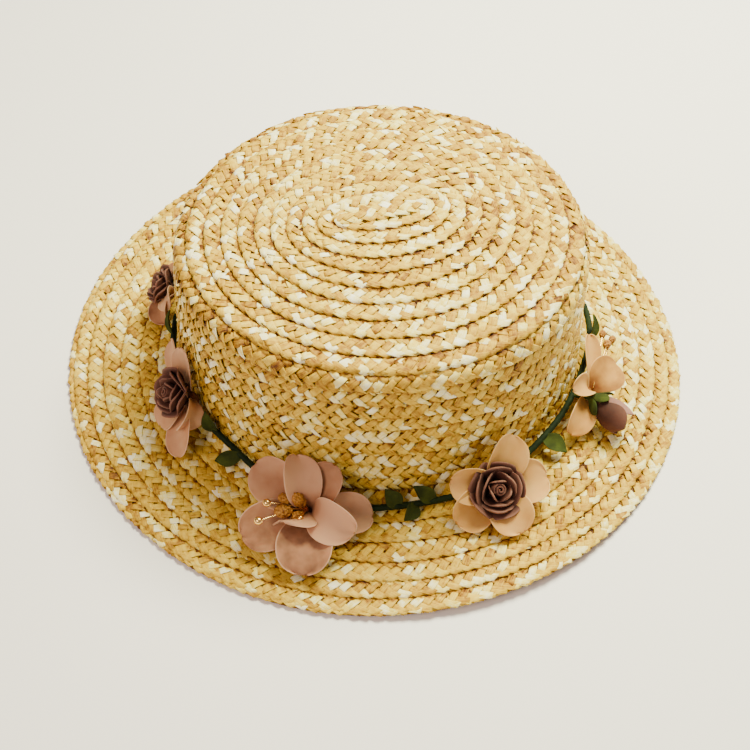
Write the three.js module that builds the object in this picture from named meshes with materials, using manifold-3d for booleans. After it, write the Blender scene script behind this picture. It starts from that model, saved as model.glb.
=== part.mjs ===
// Boater hat of sewn straw braid with a flower garland round the crown.
// Millimetres, +Z up. The origin is the middle of the brim on the plane that it rests on, +X runs
// along the crown's long axis, and the open flower and the largest rose are on the -Y side.
import * as THREE from "three";
import { mergeVertices } from "three/addons/utils/BufferGeometryUtils.js";
import Module from "manifold-3d";

const wasm = await Module();
wasm.setup();
const { lerp, degToRad } = THREE.MathUtils;
const zAxis = new THREE.Vector3(0, 0, 1);

// Driving dimensions of the straw body. Half lengths lie along X, half widths along Y.
const crown = {
  baseHalfLength: 99.7, baseHalfWidth: 94.0, baseHeight: 5,
  topHalfLength: 95.6, topHalfWidth: 91.8, topHeight: 85.2,
  shoulderRadius: 9, dome: 4, shift: 2.6,
};
const brim = {
  halfLength: 150.8, halfWidth: 152.8, rise: 6.6, rimHeight: 2.5, rimOut: 1,
  footRadius: 4, restWidth: 8, waveHeight: 3, waveAngle: degToRad(102),
};
const braid = { wall: 2.2, step: 0.8, sideRows: 8, brimRows: 6 };
// Where the braid's line and two more rings lie on the shoulder's arc, and how far the tip goes on
// down past the arc to meet the side wall.
const shoulder = { line: degToRad(53), low: degToRad(25), under: degToRad(45), lip: 1 };
const tip = {
  rows: 9, firstHalfWidth: 10.5, pitch: 8.0, pitchGrowth: 0.07, extraLength: 15, startShift: 5.5,
};
const joint = 0.3;       // gap kept between neighbouring pieces
const around = 36;       // facets round the hat

// Driving dimensions of the garland.
const wire = { radius: 1.5, steps: 48, sides: 6 };
const core = { radius: 3, petalStart: 0.6 };     // a flower's foot, and where its petals leave it
const petalShape = { thickness: 1.2, foot: 0.22, widest: 0.62, roundTo: 1.04, along: 4 };
const leafShape = {
  thickness: 0.8, bulge: 1, cup: 0.15, from: 0.08, to: 0.94, along: 3, seatOut: 5, seatHeight: 12, raised: 0.8,
};
const roll = {
  turns: 2, steps: 15, inner: 1.6, halfThickness: 0.8, foot: 0.5, droop: 0.3, lift: 0.5,
  floor: 0.55, floorHeight: 2,
};

const colours = {
  straw: 0xdcbf86, stem: 0x1f3a20, leaf: 0x4f5a23, petal: 0xc69a78, pinkPetal: 0xa87c66,
  rose: 0x7a5048, gold: 0xc9a050,
};

// Where the garland's wire runs: angle round the crown, distance out from its wall, height.
const stemRoute = [
  { angle: 0, out: 4.0, height: 15 },
  { angle: 30, out: 3.2, height: 11 },
  { angle: 60, out: 3.6, height: 9.6 },
  { angle: 90, out: 4.6, height: 9.4 },
  { angle: 120, out: 3.6, height: 10 },
  { angle: 150, out: 3.0, height: 15 },
  { angle: 178, out: 2.6, height: 17 },
  { angle: 198, out: 2.4, height: 17 },
  { angle: 216, out: 2.6, height: 14.5 },
  { angle: 230, out: 7.0, height: 10.6 },
  { angle: 242, out: 10.5, height: 9.4 },
  { angle: 256, out: 8.0, height: 9.0 },
  { angle: 272, out: 7.4, height: 9.2 },
  { angle: 284, out: 7.6, height: 9.4 },
  { angle: 298, out: 4.2, height: 11 },
  { angle: 313, out: 3.4, height: 14 },
  { angle: 326, out: 2.8, height: 17 },
  { angle: 343, out: 4.4, height: 17 },
];

// Each flower has a base on the wire, the way it faces, and a row for each petal: the petal's
// tip by its place round the crown, its width, the bulge of its spine and the cup of its edges.
const flowers = [
  {
    name: "far_left", colour: "petal", angle: 152.6, out: 6.5, height: 18, facing: 158, raised: 25,
    petals: [
      { angle: 157.5, out: 8, height: 8.8, width: 12, bulge: 4, cup: 0.2 },
      { angle: 146, out: 12, height: 28, width: 15, bulge: 3, cup: 0.25 },
      { angle: 154, out: 16, height: 12, width: 14, bulge: 2, cup: 0.2 },
      { angle: 146.5, out: 13, height: 11, width: 14, bulge: 2, cup: 0.2 },
      { angle: 157, out: 5, height: 31, width: 14, bulge: 2, cup: 0.2 },
    ],
    rose: { radius: 9.5, height: 10 },
  },
  {
    name: "left", colour: "petal", angle: 191.5, out: 6.5, height: 19, facing: 178, raised: 25,
    petals: [
      { angle: 181, out: 5.5, height: 38, width: 15, bulge: 1, cup: 0.2 },
      { angle: 189, out: 3.6, height: 45, width: 17, bulge: 1, cup: 0.15 },
      { angle: 203, out: 4.0, height: 39, width: 13, bulge: 3, cup: 0.3 },
      { angle: 203.6, out: 21, height: 9.4, width: 16, bulge: 5, cup: 0.15 },
      { angle: 193.5, out: 20, height: 9.6, width: 14, bulge: 2, cup: 0.2 },
    ],
    rose: { radius: 10.5, height: 13 },
  },
  {
    name: "front_left", colour: "pinkPetal", angle: 240, out: 15.7, height: 12, facing: 248, raised: 58,
    petals: [
      { angle: 226, out: 14, height: 30, width: 21, bulge: 5, cup: 0.2 },
      { angle: 234.6, out: 4, height: 34, width: 18, bulge: 4, cup: 0.25 },
      { angle: 245, out: 3.6, height: 27, width: 17, bulge: 2, cup: 0.15 },
      { angle: 254.4, out: 14.6, height: 12, width: 18, bulge: 2, cup: 0.15 },
      { angle: 250.5, out: 31, height: 15, width: 18, bulge: 5, cup: 0.15 },
      { angle: 243, out: 46, height: 8.2, width: 23, bulge: 6, cup: 0.15 },
      { angle: 229.3, out: 38, height: 12, width: 22, bulge: 3, cup: 0.15 },
    ],
  },
  {
    name: "front_right", colour: "petal", angle: 283.2, out: 12.4, height: 12, facing: 272, raised: 52,
    petals: [
      { angle: 291.2, out: 4.6, height: 33, width: 19, bulge: 4, cup: 0.2 },
      { angle: 273, out: 8.4, height: 23, width: 17, bulge: 4, cup: 0.25 },
      { angle: 294.5, out: 22.6, height: 17, width: 20, bulge: 4, cup: 0.15 },
      { angle: 284, out: 36.5, height: 8.6, width: 20, bulge: 4, cup: 0.15 },
      { angle: 272.4, out: 23, height: 10.5, width: 19, bulge: 4, cup: 0.15 },
    ],
    rose: { radius: 12.5, height: 10 },
  },
  {
    name: "right", colour: "petal", angle: 322.5, out: 9.5, height: 15, facing: 10, raised: 50,
    petals: [
      { angle: 336, out: 3.6, height: 28, width: 10, bulge: 1, cup: 0.15 },
      { angle: 335, out: 18, height: 18, width: 16, bulge: 3, cup: 0.25 },
      { angle: 316.4, out: 4.2, height: 24, width: 9, bulge: 3, cup: 0.2 },
      { angle: 310.6, out: 17.5, height: 11.5, width: 13, bulge: 4, cup: 0.2 },
    ],
  },
];

// The stamens: each is a bead or a glitter pip at the end of a thin wire from a flower's base.
const stamens = [
  {
    name: "front_left", flower: "front_left",
    heads: [
      { angle: 236.6, out: 25.0, height: 19.5, radius: 2.5, stretch: 1.7 },
      { angle: 237.4, out: 18.6, height: 21.5, radius: 2.4, stretch: 1.7 },
      { angle: 232.2, out: 25.8, height: 24, radius: 1.9, stretch: 1 },
      { angle: 232.3, out: 35.0, height: 23, radius: 1.9, stretch: 1 },
      { angle: 239.4, out: 25.5, height: 19.5, radius: 1.5, stretch: 1 },
    ],
  },
  {
    name: "right", flower: "right",
    heads: [
      { angle: 337.2, out: 12.5, height: 21.5, radius: 1.9, stretch: 1.3 },
      { angle: 340.0, out: 15.0, height: 19.5, radius: 1.7, stretch: 1.3 },
      { angle: 339.4, out: 10.0, height: 24.0, radius: 1.6, stretch: 1.3 },
    ],
  },
];
const stamenWire = 0.6;  // radius

// The closed bud at the right: where its green calyx sits and where its nose points.
const bud = {
  calyx: { angle: 319.6, out: 15.2, height: 18 }, nose: { angle: 318.2, out: 32, height: 12.2 },
  radius: 7.2, middle: 0.52, calyxRadius: 4.4, stalkRadius: 0.9,
};

// Leaves: where each leaves the wire and where it ends.
const leaves = [
  { angle: 168.5, tipAngle: 164.5, tipOut: 5, tipHeight: 27, width: 8 },
  { angle: 207.5, tipAngle: 204.0, tipOut: 4.0, tipHeight: 26, width: 7.5 },
  { angle: 217.5, tipAngle: 212.2, tipOut: 11, tipHeight: 9.6, width: 7.5 },
  { angle: 261.0, tipAngle: 257.4, tipOut: 3.2, tipHeight: 16, width: 8 },
  { angle: 264.5, tipAngle: 261.6, tipOut: 16.0, tipHeight: 9.2, width: 8 },
  { angle: 269.5, tipAngle: 264.6, tipOut: 3.0, tipHeight: 16.5, width: 7.5 },
  { angle: 304.0, tipAngle: 305.6, tipOut: 16.0, tipHeight: 9.0, width: 9 },
  { angle: 340.0, tipAngle: 345.6, tipOut: 6.5, tipHeight: 26, width: 8 },
  { angle: 5, tipAngle: 10.5, tipOut: 13, tipHeight: 11, width: 8 },
  { angle: 28, tipAngle: 33, tipOut: 3.2, tipHeight: 22, width: 8 },
  { angle: 62, tipAngle: 68, tipOut: 14, tipHeight: 9.4, width: 8 },
  { angle: 112, tipAngle: 118, tipOut: 13, tipHeight: 9.6, width: 8 },
];

// The crown wall's half length and half width at a height.
function wallAt(height) {
  const rise = (height - crown.baseHeight) / (crown.topHeight - crown.shoulderRadius - crown.baseHeight);
  return {
    halfLength: lerp(crown.baseHalfLength, crown.topHalfLength, rise),
    halfWidth: lerp(crown.baseHalfWidth, crown.topHalfWidth, rise),
  };
}

// A point given by its angle round the crown, its distance out from the wall and its height.
function place({ angle, out, height }) {
  const t = degToRad(angle);
  const { halfLength, halfWidth } = wallAt(height);
  const outward = new THREE.Vector3(Math.cos(t) / halfLength, Math.sin(t) / halfWidth, 0).normalize();
  const onWall = new THREE.Vector3(crown.shift + halfLength * Math.cos(t), halfWidth * Math.sin(t), height);
  return onWall.addScaledVector(outward, out);
}

// One station of the straw's outer face: an oval ring and the way its face looks, outward and up.
// Its middle is the crown's, unless it says otherwise, and wave is its share of the rim's waves.
function station(halfLength, halfWidth, height, outward, upward, middle = {}) {
  const { shiftX = crown.shift, shiftY = 0, wave = 0 } = middle;
  return { halfLength, halfWidth, height, outward, upward, shiftX, shiftY, wave };
}

// The same ring moved along the way that it looks, by a distance that may be negative.
function offset(ring, distance) {
  return {
    ...ring,
    halfLength: ring.halfLength + distance * ring.outward,
    halfWidth: ring.halfWidth + distance * ring.outward,
    height: ring.height + distance * ring.upward,
  };
}

// The domed tip: its rows start as a long oval a little behind the middle and round out.
const tipEdge = crown.topHalfWidth - crown.shoulderRadius;
const edgeExtra = crown.topHalfLength - crown.topHalfWidth;
function tipStation(halfWidth) {
  const u = halfWidth / tipEdge;
  const slope = (2 * crown.dome * u) / tipEdge;
  return station(
    halfWidth + lerp(tip.extraLength, edgeExtra, u), halfWidth,
    crown.topHeight + crown.dome * (1 - u * u), slope, 1, { shiftY: tip.startShift * (1 - u) },
  );
}

// The rounded shoulder, by the angle of its arc, from 90 degrees at the tip to 0 at the wall.
function shoulderStation(angle) {
  const c = Math.cos(angle);
  const s = Math.sin(angle);
  return station(
    crown.topHalfLength - crown.shoulderRadius * (1 - c),
    crown.topHalfWidth - crown.shoulderRadius * (1 - c),
    crown.topHeight - crown.shoulderRadius * (1 - s), c, s,
  );
}

// The side wall, by its height.
function sideStation(height) {
  const { halfLength, halfWidth } = wallAt(height);
  return station(halfLength, halfWidth, height, 1, 0);
}

// The small hollow curve where the wall turns out into the brim, from 0 at the wall to 1.
const footTop = brim.rise + brim.footRadius;
function footStation(turn) {
  const angle = (turn * Math.PI) / 2;
  const { halfLength, halfWidth } = wallAt(footTop);
  const out = brim.footRadius * (1 - Math.cos(angle));
  const height = footTop - brim.footRadius * Math.sin(angle);
  return station(halfLength + out, halfWidth + out, height, Math.cos(angle), Math.sin(angle));
}

// The brim's top face, from 0 at the foot to 1 at the rim. It falls a little and waves at its rim.
function brimStation(u) {
  const foot = footStation(1);
  return station(
    lerp(foot.halfLength, brim.halfLength, u), lerp(foot.halfWidth, brim.halfWidth, u),
    lerp(brim.rise, brim.rimHeight, u), 0, 1, { shiftX: crown.shift * (1 - u), wave: u * u },
  );
}

// How far the rim lifts at an angle: two soft waves at the front and the back, level at the sides.
function rimLift(t) {
  return brim.waveHeight * Math.max(0, Math.cos(2 * (t - brim.waveAngle))) ** 2;
}

// The point of a ring at an angle.
function ringPoint(ring, t) {
  return [
    ring.shiftX + ring.halfLength * Math.cos(t),
    ring.shiftY + ring.halfWidth * Math.sin(t),
    ring.height + ring.wave * rimLift(t),
  ];
}

// A closed solid from rings of the same number of points, end rings closed by a middle point
// where poles are asked for, or joined last to first where they aren't.
function solidOfRings(rings, poles) {
  const count = rings[0].length;
  const positions = rings.flat(2);
  const index = [];
  const quad = (a, b, c, d) => index.push(a, b, c, a, c, d);
  const last = poles ? rings.length - 1 : rings.length;
  for (let i = 0; i < last; i++) {
    const next = (i + 1) % rings.length;
    for (let j = 0; j < count; j++) {
      const k = (j + 1) % count;
      quad(i * count + j, i * count + k, next * count + k, next * count + j);
    }
  }
  if (poles) {
    const closeEnd = (ring, start, reversed) => {
      const middle = ring.reduce((sum, p) => sum.map((v, axis) => v + p[axis] / count), [0, 0, 0]);
      const pole = positions.length / 3;
      positions.push(...middle);
      for (let j = 0; j < count; j++) {
        const pair = [start + j, start + ((j + 1) % count)];
        index.push(pole, ...(reversed ? pair : pair.reverse()));
      }
    };
    closeEnd(rings[0], 0, false);
    closeEnd(rings[rings.length - 1], (rings.length - 1) * count, true);
  }
  return facingOut(positions, index);
}

// The geometry of a closed mesh, turned over if its faces point in.
function facingOut(positions, index) {
  let volume = 0;
  const corner = (i) => new THREE.Vector3().fromArray(positions, 3 * i);
  for (let i = 0; i < index.length; i += 3) {
    volume += corner(index[i]).dot(corner(index[i + 1]).cross(corner(index[i + 2])));
  }
  const turned = volume < 0 ? index.slice().reverse() : index;
  const geometry = new THREE.BufferGeometry();
  geometry.setAttribute("position", new THREE.Float32BufferAttribute(positions, 3));
  geometry.setIndex(turned);
  return geometry;
}

// The points of one straw ring all round.
function roundTheHat(ring) {
  return Array.from({ length: around }, (_, j) => ringPoint(ring, (2 * Math.PI * j) / around));
}

// Rows of braid lie like shingles: each one starts low under the row before and ends a step high.
function shingled(edges, grow) {
  const faces = [];
  for (let i = 0; i + 1 < edges.length; i++) {
    faces.push(offset(edges[i], grow - braid.step), offset(edges[i + 1], grow));
  }
  return faces;
}

// The three straw pieces. A piece grown by a gap is what its neighbours are cut back from.
const tipBottom = crown.topHeight - crown.shoulderRadius - shoulder.lip;
function tipPiece(grow = 0) {
  const halfWidths = Array.from(
    { length: tip.rows },
    (_, k) => tip.firstHalfWidth + tip.pitch * k + tip.pitchGrowth * k * k,
  );
  const lineRing = shoulderStation(shoulder.line);
  const edges = [...halfWidths.map(tipStation), lineRing];
  const wallRing = offset(shoulderStation(0), grow);
  const outer = [
    offset(edges[0], grow), ...shingled(edges, grow),
    offset(lineRing, grow - braid.step), offset(shoulderStation(shoulder.low), grow),
    wallRing, { ...wallRing, height: tipBottom },
  ];
  const under = [
    sideStation(tipBottom), shoulderStation(0),
    shoulderStation(shoulder.under), tipStation(tipEdge), tipStation(0.4 * tipEdge),
  ].map((ring) => offset(ring, -braid.wall - grow));
  return solidOfRings([...outer, ...under].map(roundTheHat), true);
}

function sidePiece(grow = 0) {
  const top = tipBottom - joint;
  const bottom = footTop + joint;
  const heights = Array.from({ length: braid.sideRows + 1 }, (_, k) => lerp(top, bottom, k / braid.sideRows));
  const outer = shingled(heights.map(sideStation), grow);
  const inner = [bottom, top].map((height) => offset(sideStation(height), -braid.wall - grow));
  return solidOfRings([...outer, ...inner].map(roundTheHat), false);
}

function brimPiece(grow = 0) {
  const foot = [0, 0.5].map((turn) => offset(footStation(turn), grow));
  const rows = Array.from({ length: braid.brimRows + 1 }, (_, k) => brimStation(k / braid.brimRows));
  const outer = [...foot, ...shingled(rows, grow)];
  const rim = brimStation(1);
  const rimOut = brim.rimOut + grow;
  const rimEdge = {
    ...rim, halfLength: rim.halfLength + rimOut, halfWidth: rim.halfWidth + rimOut, height: rim.height / 2,
  };
  const restInner = 1 - brim.restWidth / (brim.halfLength - crown.baseHalfLength);
  const flat = [1, restInner].map((u) => ({ ...brimStation(u), height: -grow }));
  const under = [0.6, 0.3, 0].map((u) => offset(brimStation(u), -braid.wall - grow));
  const footUnder = [0.6, 0].map((turn) => offset(footStation(turn), -braid.wall - grow));
  return solidOfRings([...outer, rimEdge, ...flat, ...under, ...footUnder].map(roundTheHat), false);
}

// The garland's wire: a closed loop with a many-sided section.
const stemCurve = new THREE.CatmullRomCurve3(stemRoute.map(place), true, "centripetal");
function stemPiece(grow = 0) {
  const rings = Array.from({ length: wire.steps }, (_, i) => {
    const middle = stemCurve.getPoint(i / wire.steps);
    const along = stemCurve.getTangent(i / wire.steps);
    const aside = new THREE.Vector3().crossVectors(along, zAxis).normalize();
    const over = new THREE.Vector3().crossVectors(aside, along);
    return Array.from({ length: wire.sides }, (_, j) => {
      const t = (2 * Math.PI * j) / wire.sides;
      const point = middle.clone();
      point.addScaledVector(aside, (wire.radius + grow) * Math.cos(t));
      point.addScaledVector(over, (wire.radius + grow) * Math.sin(t));
      return point.toArray();
    });
  });
  return solidOfRings(rings, false);
}

// The nearest point of the wire to a place.
function onStem(point) {
  let best = null;
  for (let i = 0; i < 360; i++) {
    const candidate = stemCurve.getPoint(i / 360);
    if (!best || candidate.distanceTo(point) < best.distanceTo(point)) best = candidate;
  }
  return best;
}

// A petal or a leaf: a thin sheet from a base to a tip, with a bulged spine, cupped edges and
// a width that swells from a narrow base and closes in an arc at the tip.
function sheetPiece({ from, to, facing, width, bulge, cup, thickness, pointed = false, grow = 0 }) {
  const alongSteps = pointed ? leafShape.along : petalShape.along;
  const acrossSteps = 2;
  const axis = to.clone().sub(from);
  const aside = new THREE.Vector3().crossVectors(axis, facing).normalize();
  const over = new THREE.Vector3().crossVectors(aside, axis).normalize();
  const middle = from.clone().add(to).multiplyScalar(0.5).addScaledVector(over, 2 * bulge);
  const spine = new THREE.QuadraticBezierCurve3(from, middle, to);
  const swell = pointed ? leafWidth : petalWidth;
  const rings = [];
  for (let i = 0; i <= alongSteps; i++) {
    const s = i / alongSteps;
    const half = (width / 2) * swell(s) + grow;
    const centre = spine.getPoint(s);
    if (i === alongSteps) centre.addScaledVector(axis.clone().normalize(), grow);
    const up = new THREE.Vector3().crossVectors(aside, spine.getTangent(s)).normalize();
    const sheetRow = (lift) => Array.from({ length: acrossSteps + 1 }, (_, j) => {
      const v = (2 * j) / acrossSteps - 1;
      const rise = lift + cup * half * v * v;
      return centre.clone().addScaledVector(aside, half * v).addScaledVector(up, rise).toArray();
    });
    rings.push([...sheetRow(thickness / 2 + grow), ...sheetRow(-thickness / 2 - grow).reverse()]);
  }
  return solidOfRings(rings, true);
}

// A petal's width along it, as a share of its widest: narrow at its foot, an arc at its tip. A
// leaf's swells and closes evenly.
function petalWidth(s) {
  const { foot, widest, roundTo } = petalShape;
  if (s < widest) return lerp(foot, 1, Math.sin((Math.PI / 2) * (s / widest)));
  const past = (s - widest) / (roundTo - widest);
  return Math.sqrt(1 - past * past);
}

function leafWidth(s) {
  return Math.sin(Math.PI * lerp(leafShape.from, leafShape.to, s));
}

// A solid of manifold-3d from a closed geometry, and a geometry back from it.
function toSolid(geometry) {
  const bare = geometry.clone();
  bare.deleteAttribute("normal");
  bare.deleteAttribute("uv");
  const merged = mergeVertices(bare, 1e-4);
  return new wasm.Manifold(new wasm.Mesh({
    numProp: 3,
    vertProperties: new Float32Array(merged.attributes.position.array),
    triVerts: new Uint32Array(merged.index.array),
  }));
}

function toGeometry(solid) {
  const mesh = solid.getMesh();
  const geometry = new THREE.BufferGeometry();
  geometry.setAttribute("position", new THREE.BufferAttribute(new Float32Array(mesh.vertProperties), 3));
  geometry.setIndex(new THREE.BufferAttribute(new Uint32Array(mesh.triVerts), 1));
  return geometry;
}

const joined = (geometries) => geometries.map(toSolid).reduce((whole, next) => whole.add(next));

// A solid cut back from its neighbours, each grown by the gap, and freed of loose crumbs.
function clearOf(solid, neighbours) {
  const cut = neighbours.reduce((whole, next) => whole.subtract(next), solid);
  return cut.decompose().reduce((a, b) => (b.volume() > a.volume() ? b : a));
}

// A vector from its compass angle and its angle above the horizon.
function direction(facing, raised) {
  const f = degToRad(facing);
  const r = degToRad(raised);
  return new THREE.Vector3(Math.cos(f) * Math.cos(r), Math.sin(f) * Math.cos(r), Math.sin(r));
}

// A geometry modelled along +Z, moved to a point and turned to look along an axis.
function standing(geometry, at, axis) {
  const turn = new THREE.Quaternion().setFromUnitVectors(zAxis, axis.clone().normalize());
  return geometry.applyQuaternion(turn).translate(at.x, at.y, at.z);
}

// A ball stretched along an axis.
function pip(at, axis, radius, stretch, grow = 0, sides = 5) {
  const ball = new THREE.SphereGeometry(radius + grow, sides, sides - 2).rotateX(Math.PI / 2);
  ball.scale(1, 1, stretch);
  return standing(ball, at, axis);
}

// A straight thin wire between two points.
function strut(from, to, radius) {
  const axis = to.clone().sub(from);
  const rod = new THREE.CylinderGeometry(radius, radius, axis.length(), 4).rotateX(Math.PI / 2);
  return standing(rod, from.clone().add(to).multiplyScalar(0.5), axis);
}

// The petals of one flower, fused at a small core that sits on the wire.
function petalsOf(flower, grow = 0) {
  const base = place(flower);
  const facing = direction(flower.facing, flower.raised);
  const sheets = flower.petals.map((petal) => {
    const to = place(petal);
    const from = base.clone().addScaledVector(to.clone().sub(base).normalize(), core.petalStart * core.radius);
    return sheetPiece({ ...petal, from, to, facing, thickness: petalShape.thickness, grow });
  });
  const seat = onStem(base);
  const reach = (seat.distanceTo(base) + core.radius) / 2;
  const middle = base.clone().add(seat).multiplyScalar(0.5);
  const footBall = pip(middle, base.clone().sub(seat), core.radius, reach / core.radius, grow);
  return joined([footBall, ...sheets]);
}

// A rose: a band rolled into a spiral that widens upward, fused to a small floor.
function roseAt(base, axis, { radius, height }, grow = 0) {
  const half = roll.halfThickness + grow;
  const line = (side) => Array.from({ length: roll.steps + 1 }, (_, i) => {
    const t = (2 * Math.PI * roll.turns * i) / roll.steps;
    const r = lerp(roll.inner, radius - half, i / roll.steps) + side * half;
    return new THREE.Vector2(r * Math.cos(t), r * Math.sin(t));
  });
  const band = new THREE.Shape([...line(1), ...line(-1).reverse()]);
  const petals = new THREE.ExtrudeGeometry(band, { depth: height, steps: 1, bevelEnabled: false });
  const points = petals.attributes.position;
  for (let i = 0; i < points.count; i++) {
    const rise = points.getZ(i) / height;
    const spread = lerp(roll.foot, 1, Math.sqrt(rise));
    const r = Math.hypot(points.getX(i), points.getY(i)) / radius;
    const top = height * (1 - roll.droop * r * r);
    points.setXYZ(i, points.getX(i) * spread, points.getY(i) * spread, top * rise + roll.lift);
  }
  const floorRadius = roll.floor * radius + grow;
  const floor = new THREE.CylinderGeometry(floorRadius, floorRadius, roll.floorHeight + grow, 8);
  floor.rotateX(Math.PI / 2).translate(0, 0, (roll.floorHeight - grow) / 2);
  return joined([petals, floor].map((geometry) => standing(geometry, base, axis)));
}

const group = new THREE.Group();
function addPiece(name, geometry, colour, roughness, metalness = 0) {
  const material = new THREE.MeshStandardMaterial({ color: colours[colour], roughness, metalness });
  const mesh = new THREE.Mesh(geometry, material);
  mesh.name = name;
  group.add(mesh);
}

// Straw body.
addPiece("crown_tip", tipPiece(), "straw", 0.6);
addPiece("crown_side", sidePiece(), "straw", 0.6);
addPiece("brim", brimPiece(), "straw", 0.6);
const straw = [sidePiece(joint), brimPiece(joint)].map(toSolid);

// Garland wire.
addPiece("stem", stemPiece(), "stem", 0.5);
const taken = [...straw, toSolid(stemPiece(joint))];

// Flowers: petals first, then what sits in them.
for (const flower of flowers) {
  addPiece(`petals_${flower.name}`, toGeometry(clearOf(petalsOf(flower), taken)), flower.colour, 0.8);
  taken.push(petalsOf(flower, joint));
}
for (const flower of flowers.filter((each) => each.rose)) {
  const axis = direction(flower.facing, flower.raised);
  const seat = place(flower).addScaledVector(axis, core.radius + joint);
  addPiece(`rose_${flower.name}`, toGeometry(clearOf(roseAt(seat, axis, flower.rose), taken)), "rose", 0.85);
  taken.push(roseAt(seat, axis, flower.rose, joint));
}

// Stamens: wires and heads fused into one piece for each open flower.
for (const { name, flower, heads } of stamens) {
  const root = flowers.find((each) => each.name === flower);
  const from = place(root).addScaledVector(direction(root.facing, root.raised), core.radius);
  const pieces = (grow) => heads.flatMap((head) => {
    const at = place(head);
    return [
      pip(at, at.clone().sub(from), head.radius, head.stretch, grow), strut(from, at, stamenWire + grow),
    ];
  });
  addPiece(`stamens_${name}`, toGeometry(clearOf(joined(pieces(0)), taken)), "gold", 0.4, 0.6);
  taken.push(joined(pieces(joint)));
}

// Bud and its calyx.
const budBase = place(bud.calyx);
const budAxis = place(bud.nose).sub(budBase);
const budMiddle = budBase.clone().addScaledVector(budAxis, bud.middle);
const budStretch = budAxis.length() / (2 * bud.radius);
const budBall = (grow) => toSolid(pip(budMiddle, budAxis, bud.radius, budStretch, grow, 8));
addPiece("bud_right", toGeometry(clearOf(budBall(0), taken)), "rose", 0.85);
taken.push(budBall(joint));
const calyxPieces = [
  pip(budBase, budAxis, bud.calyxRadius, 1), strut(onStem(budBase), budBase, bud.stalkRadius),
];
addPiece("calyx_right", toGeometry(clearOf(joined(calyxPieces), taken)), "leaf", 0.6);
taken.push(joined([pip(budBase, budAxis, bud.calyxRadius, 1, joint)]));

// Leaves, numbered round the crown.
leaves.forEach((leaf, i) => {
  const { seatOut, seatHeight, thickness, bulge, cup } = leafShape;
  const wallFoot = place({ angle: leaf.angle, out: 0, height: seatHeight });
  const nearStem = place({ angle: leaf.angle, out: seatOut, height: seatHeight });
  const facing = nearStem.clone().sub(wallFoot).normalize().addScaledVector(zAxis, leafShape.raised);
  const from = onStem(nearStem);
  const to = place({ angle: leaf.tipAngle, out: leaf.tipOut, height: leaf.tipHeight });
  const { width } = leaf;
  const sheet = toSolid(sheetPiece({ from, to, facing, width, bulge, cup, thickness, pointed: true }));
  addPiece(`leaf_${i + 1}`, toGeometry(clearOf(sheet, taken)), "leaf", 0.6);
  taken.push(sheet);
});

export default group;
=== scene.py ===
import math

import bpy
import numpy as np
from mathutils import Matrix, Vector


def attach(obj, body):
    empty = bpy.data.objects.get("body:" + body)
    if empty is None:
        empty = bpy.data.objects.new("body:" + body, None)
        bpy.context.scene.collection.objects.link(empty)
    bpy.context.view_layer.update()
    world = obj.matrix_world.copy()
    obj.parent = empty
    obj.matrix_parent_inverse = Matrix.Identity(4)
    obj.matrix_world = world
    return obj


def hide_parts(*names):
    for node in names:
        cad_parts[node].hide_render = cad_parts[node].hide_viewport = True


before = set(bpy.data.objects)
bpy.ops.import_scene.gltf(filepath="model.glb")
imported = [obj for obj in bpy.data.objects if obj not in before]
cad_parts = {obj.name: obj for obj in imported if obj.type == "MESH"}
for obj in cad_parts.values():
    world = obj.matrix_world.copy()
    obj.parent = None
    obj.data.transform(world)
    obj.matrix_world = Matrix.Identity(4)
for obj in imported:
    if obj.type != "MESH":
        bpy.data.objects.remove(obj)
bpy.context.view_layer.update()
seedOfHat = 7
rng = np.random.default_rng(seedOfHat)
mm = 0.001

# The crown and the brim, in millimetres, as the CAD solids have them
crown = dict(
    baseHalfLength=99.7, baseHalfWidth=94.0, baseHeight=5.0,
    topHalfLength=95.6, topHalfWidth=91.8, topHeight=85.2,
    shoulderRadius=9.0, dome=4.0,
    shift=2.6,                         # how far the crown sits towards +X of the brim's middle
    extraLength=15.0, startShift=5.5,  # the first row: how much longer than wide, how far back
)
brim = dict(
    halfLength=150.8, halfWidth=152.8, rise=6.6, rimHeight=2.5, footRadius=4.0,
    waveHeight=3.0, waveAngle=math.radians(102.0), rimRadius=1.25,
)

# One long plait is sewn round and round from the middle of the tip to the rim
plait = dict(
    width=11.0,            # whole width, part of it under the row before
    period=5.4,            # one straw crossing along the plait
    steps=(1.2, 0.85, 0.85, 0.9),      # how far a row's outer edge stands above the next row, and how dark the painted shade under it is: tip, wall's top and foot, brim
    paintedShadeUnderEdge=(0.55, 0.35, 0.35, 0.4),      # and how dark it is under it: tip, wall's top and foot, brim
    thickness=0.45,        # one flattened straw
    dive=0.8,              # how deep a straw goes under its neighbour
    wall=2.6,              # both faces of the hat
    seenMiddle=4.5,        # middle of the part that shows, in from its outer edge
    firstEdge=3.0,         # distances of the rows' outer edges along the profile
    tipFirst=10.5, tipPitch=8.0, tipGrowth=0.07, tipRows=9,
    sideRows=8,
    brimEdges=(99.0, 107.8, 118.0, 128.0, 137.3, 145.3, 152.8),   # half widths seen at the front
)

# The stiffened straw is never quite even: waves with three and five to a round, in mm, how fast
# they drift outwards, and the widths over which they fade at the middle and the rim
sway = dict(three=0.35, threeDrift=31, five=0.25, fiveDrift=17, startFade=30, rimFade=20)
# How far the wall's normal points up and the brim's points out
faceTilt = dict(wall=0.05, brim=0.08)


def srgb(hexColour, alpha=1.0):
    # a hex colour as linear red, green, blue
    channels = [int(hexColour[i:i + 2], 16) / 255 for i in (1, 3, 5)]
    linear = [c / 12.92 if c <= 0.04045 else ((c + 0.055) / 1.055) ** 2.4 for c in channels]
    return (*linear, alpha)


def lerp(a, b, t):
    return a + (b - a) * t


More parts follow.
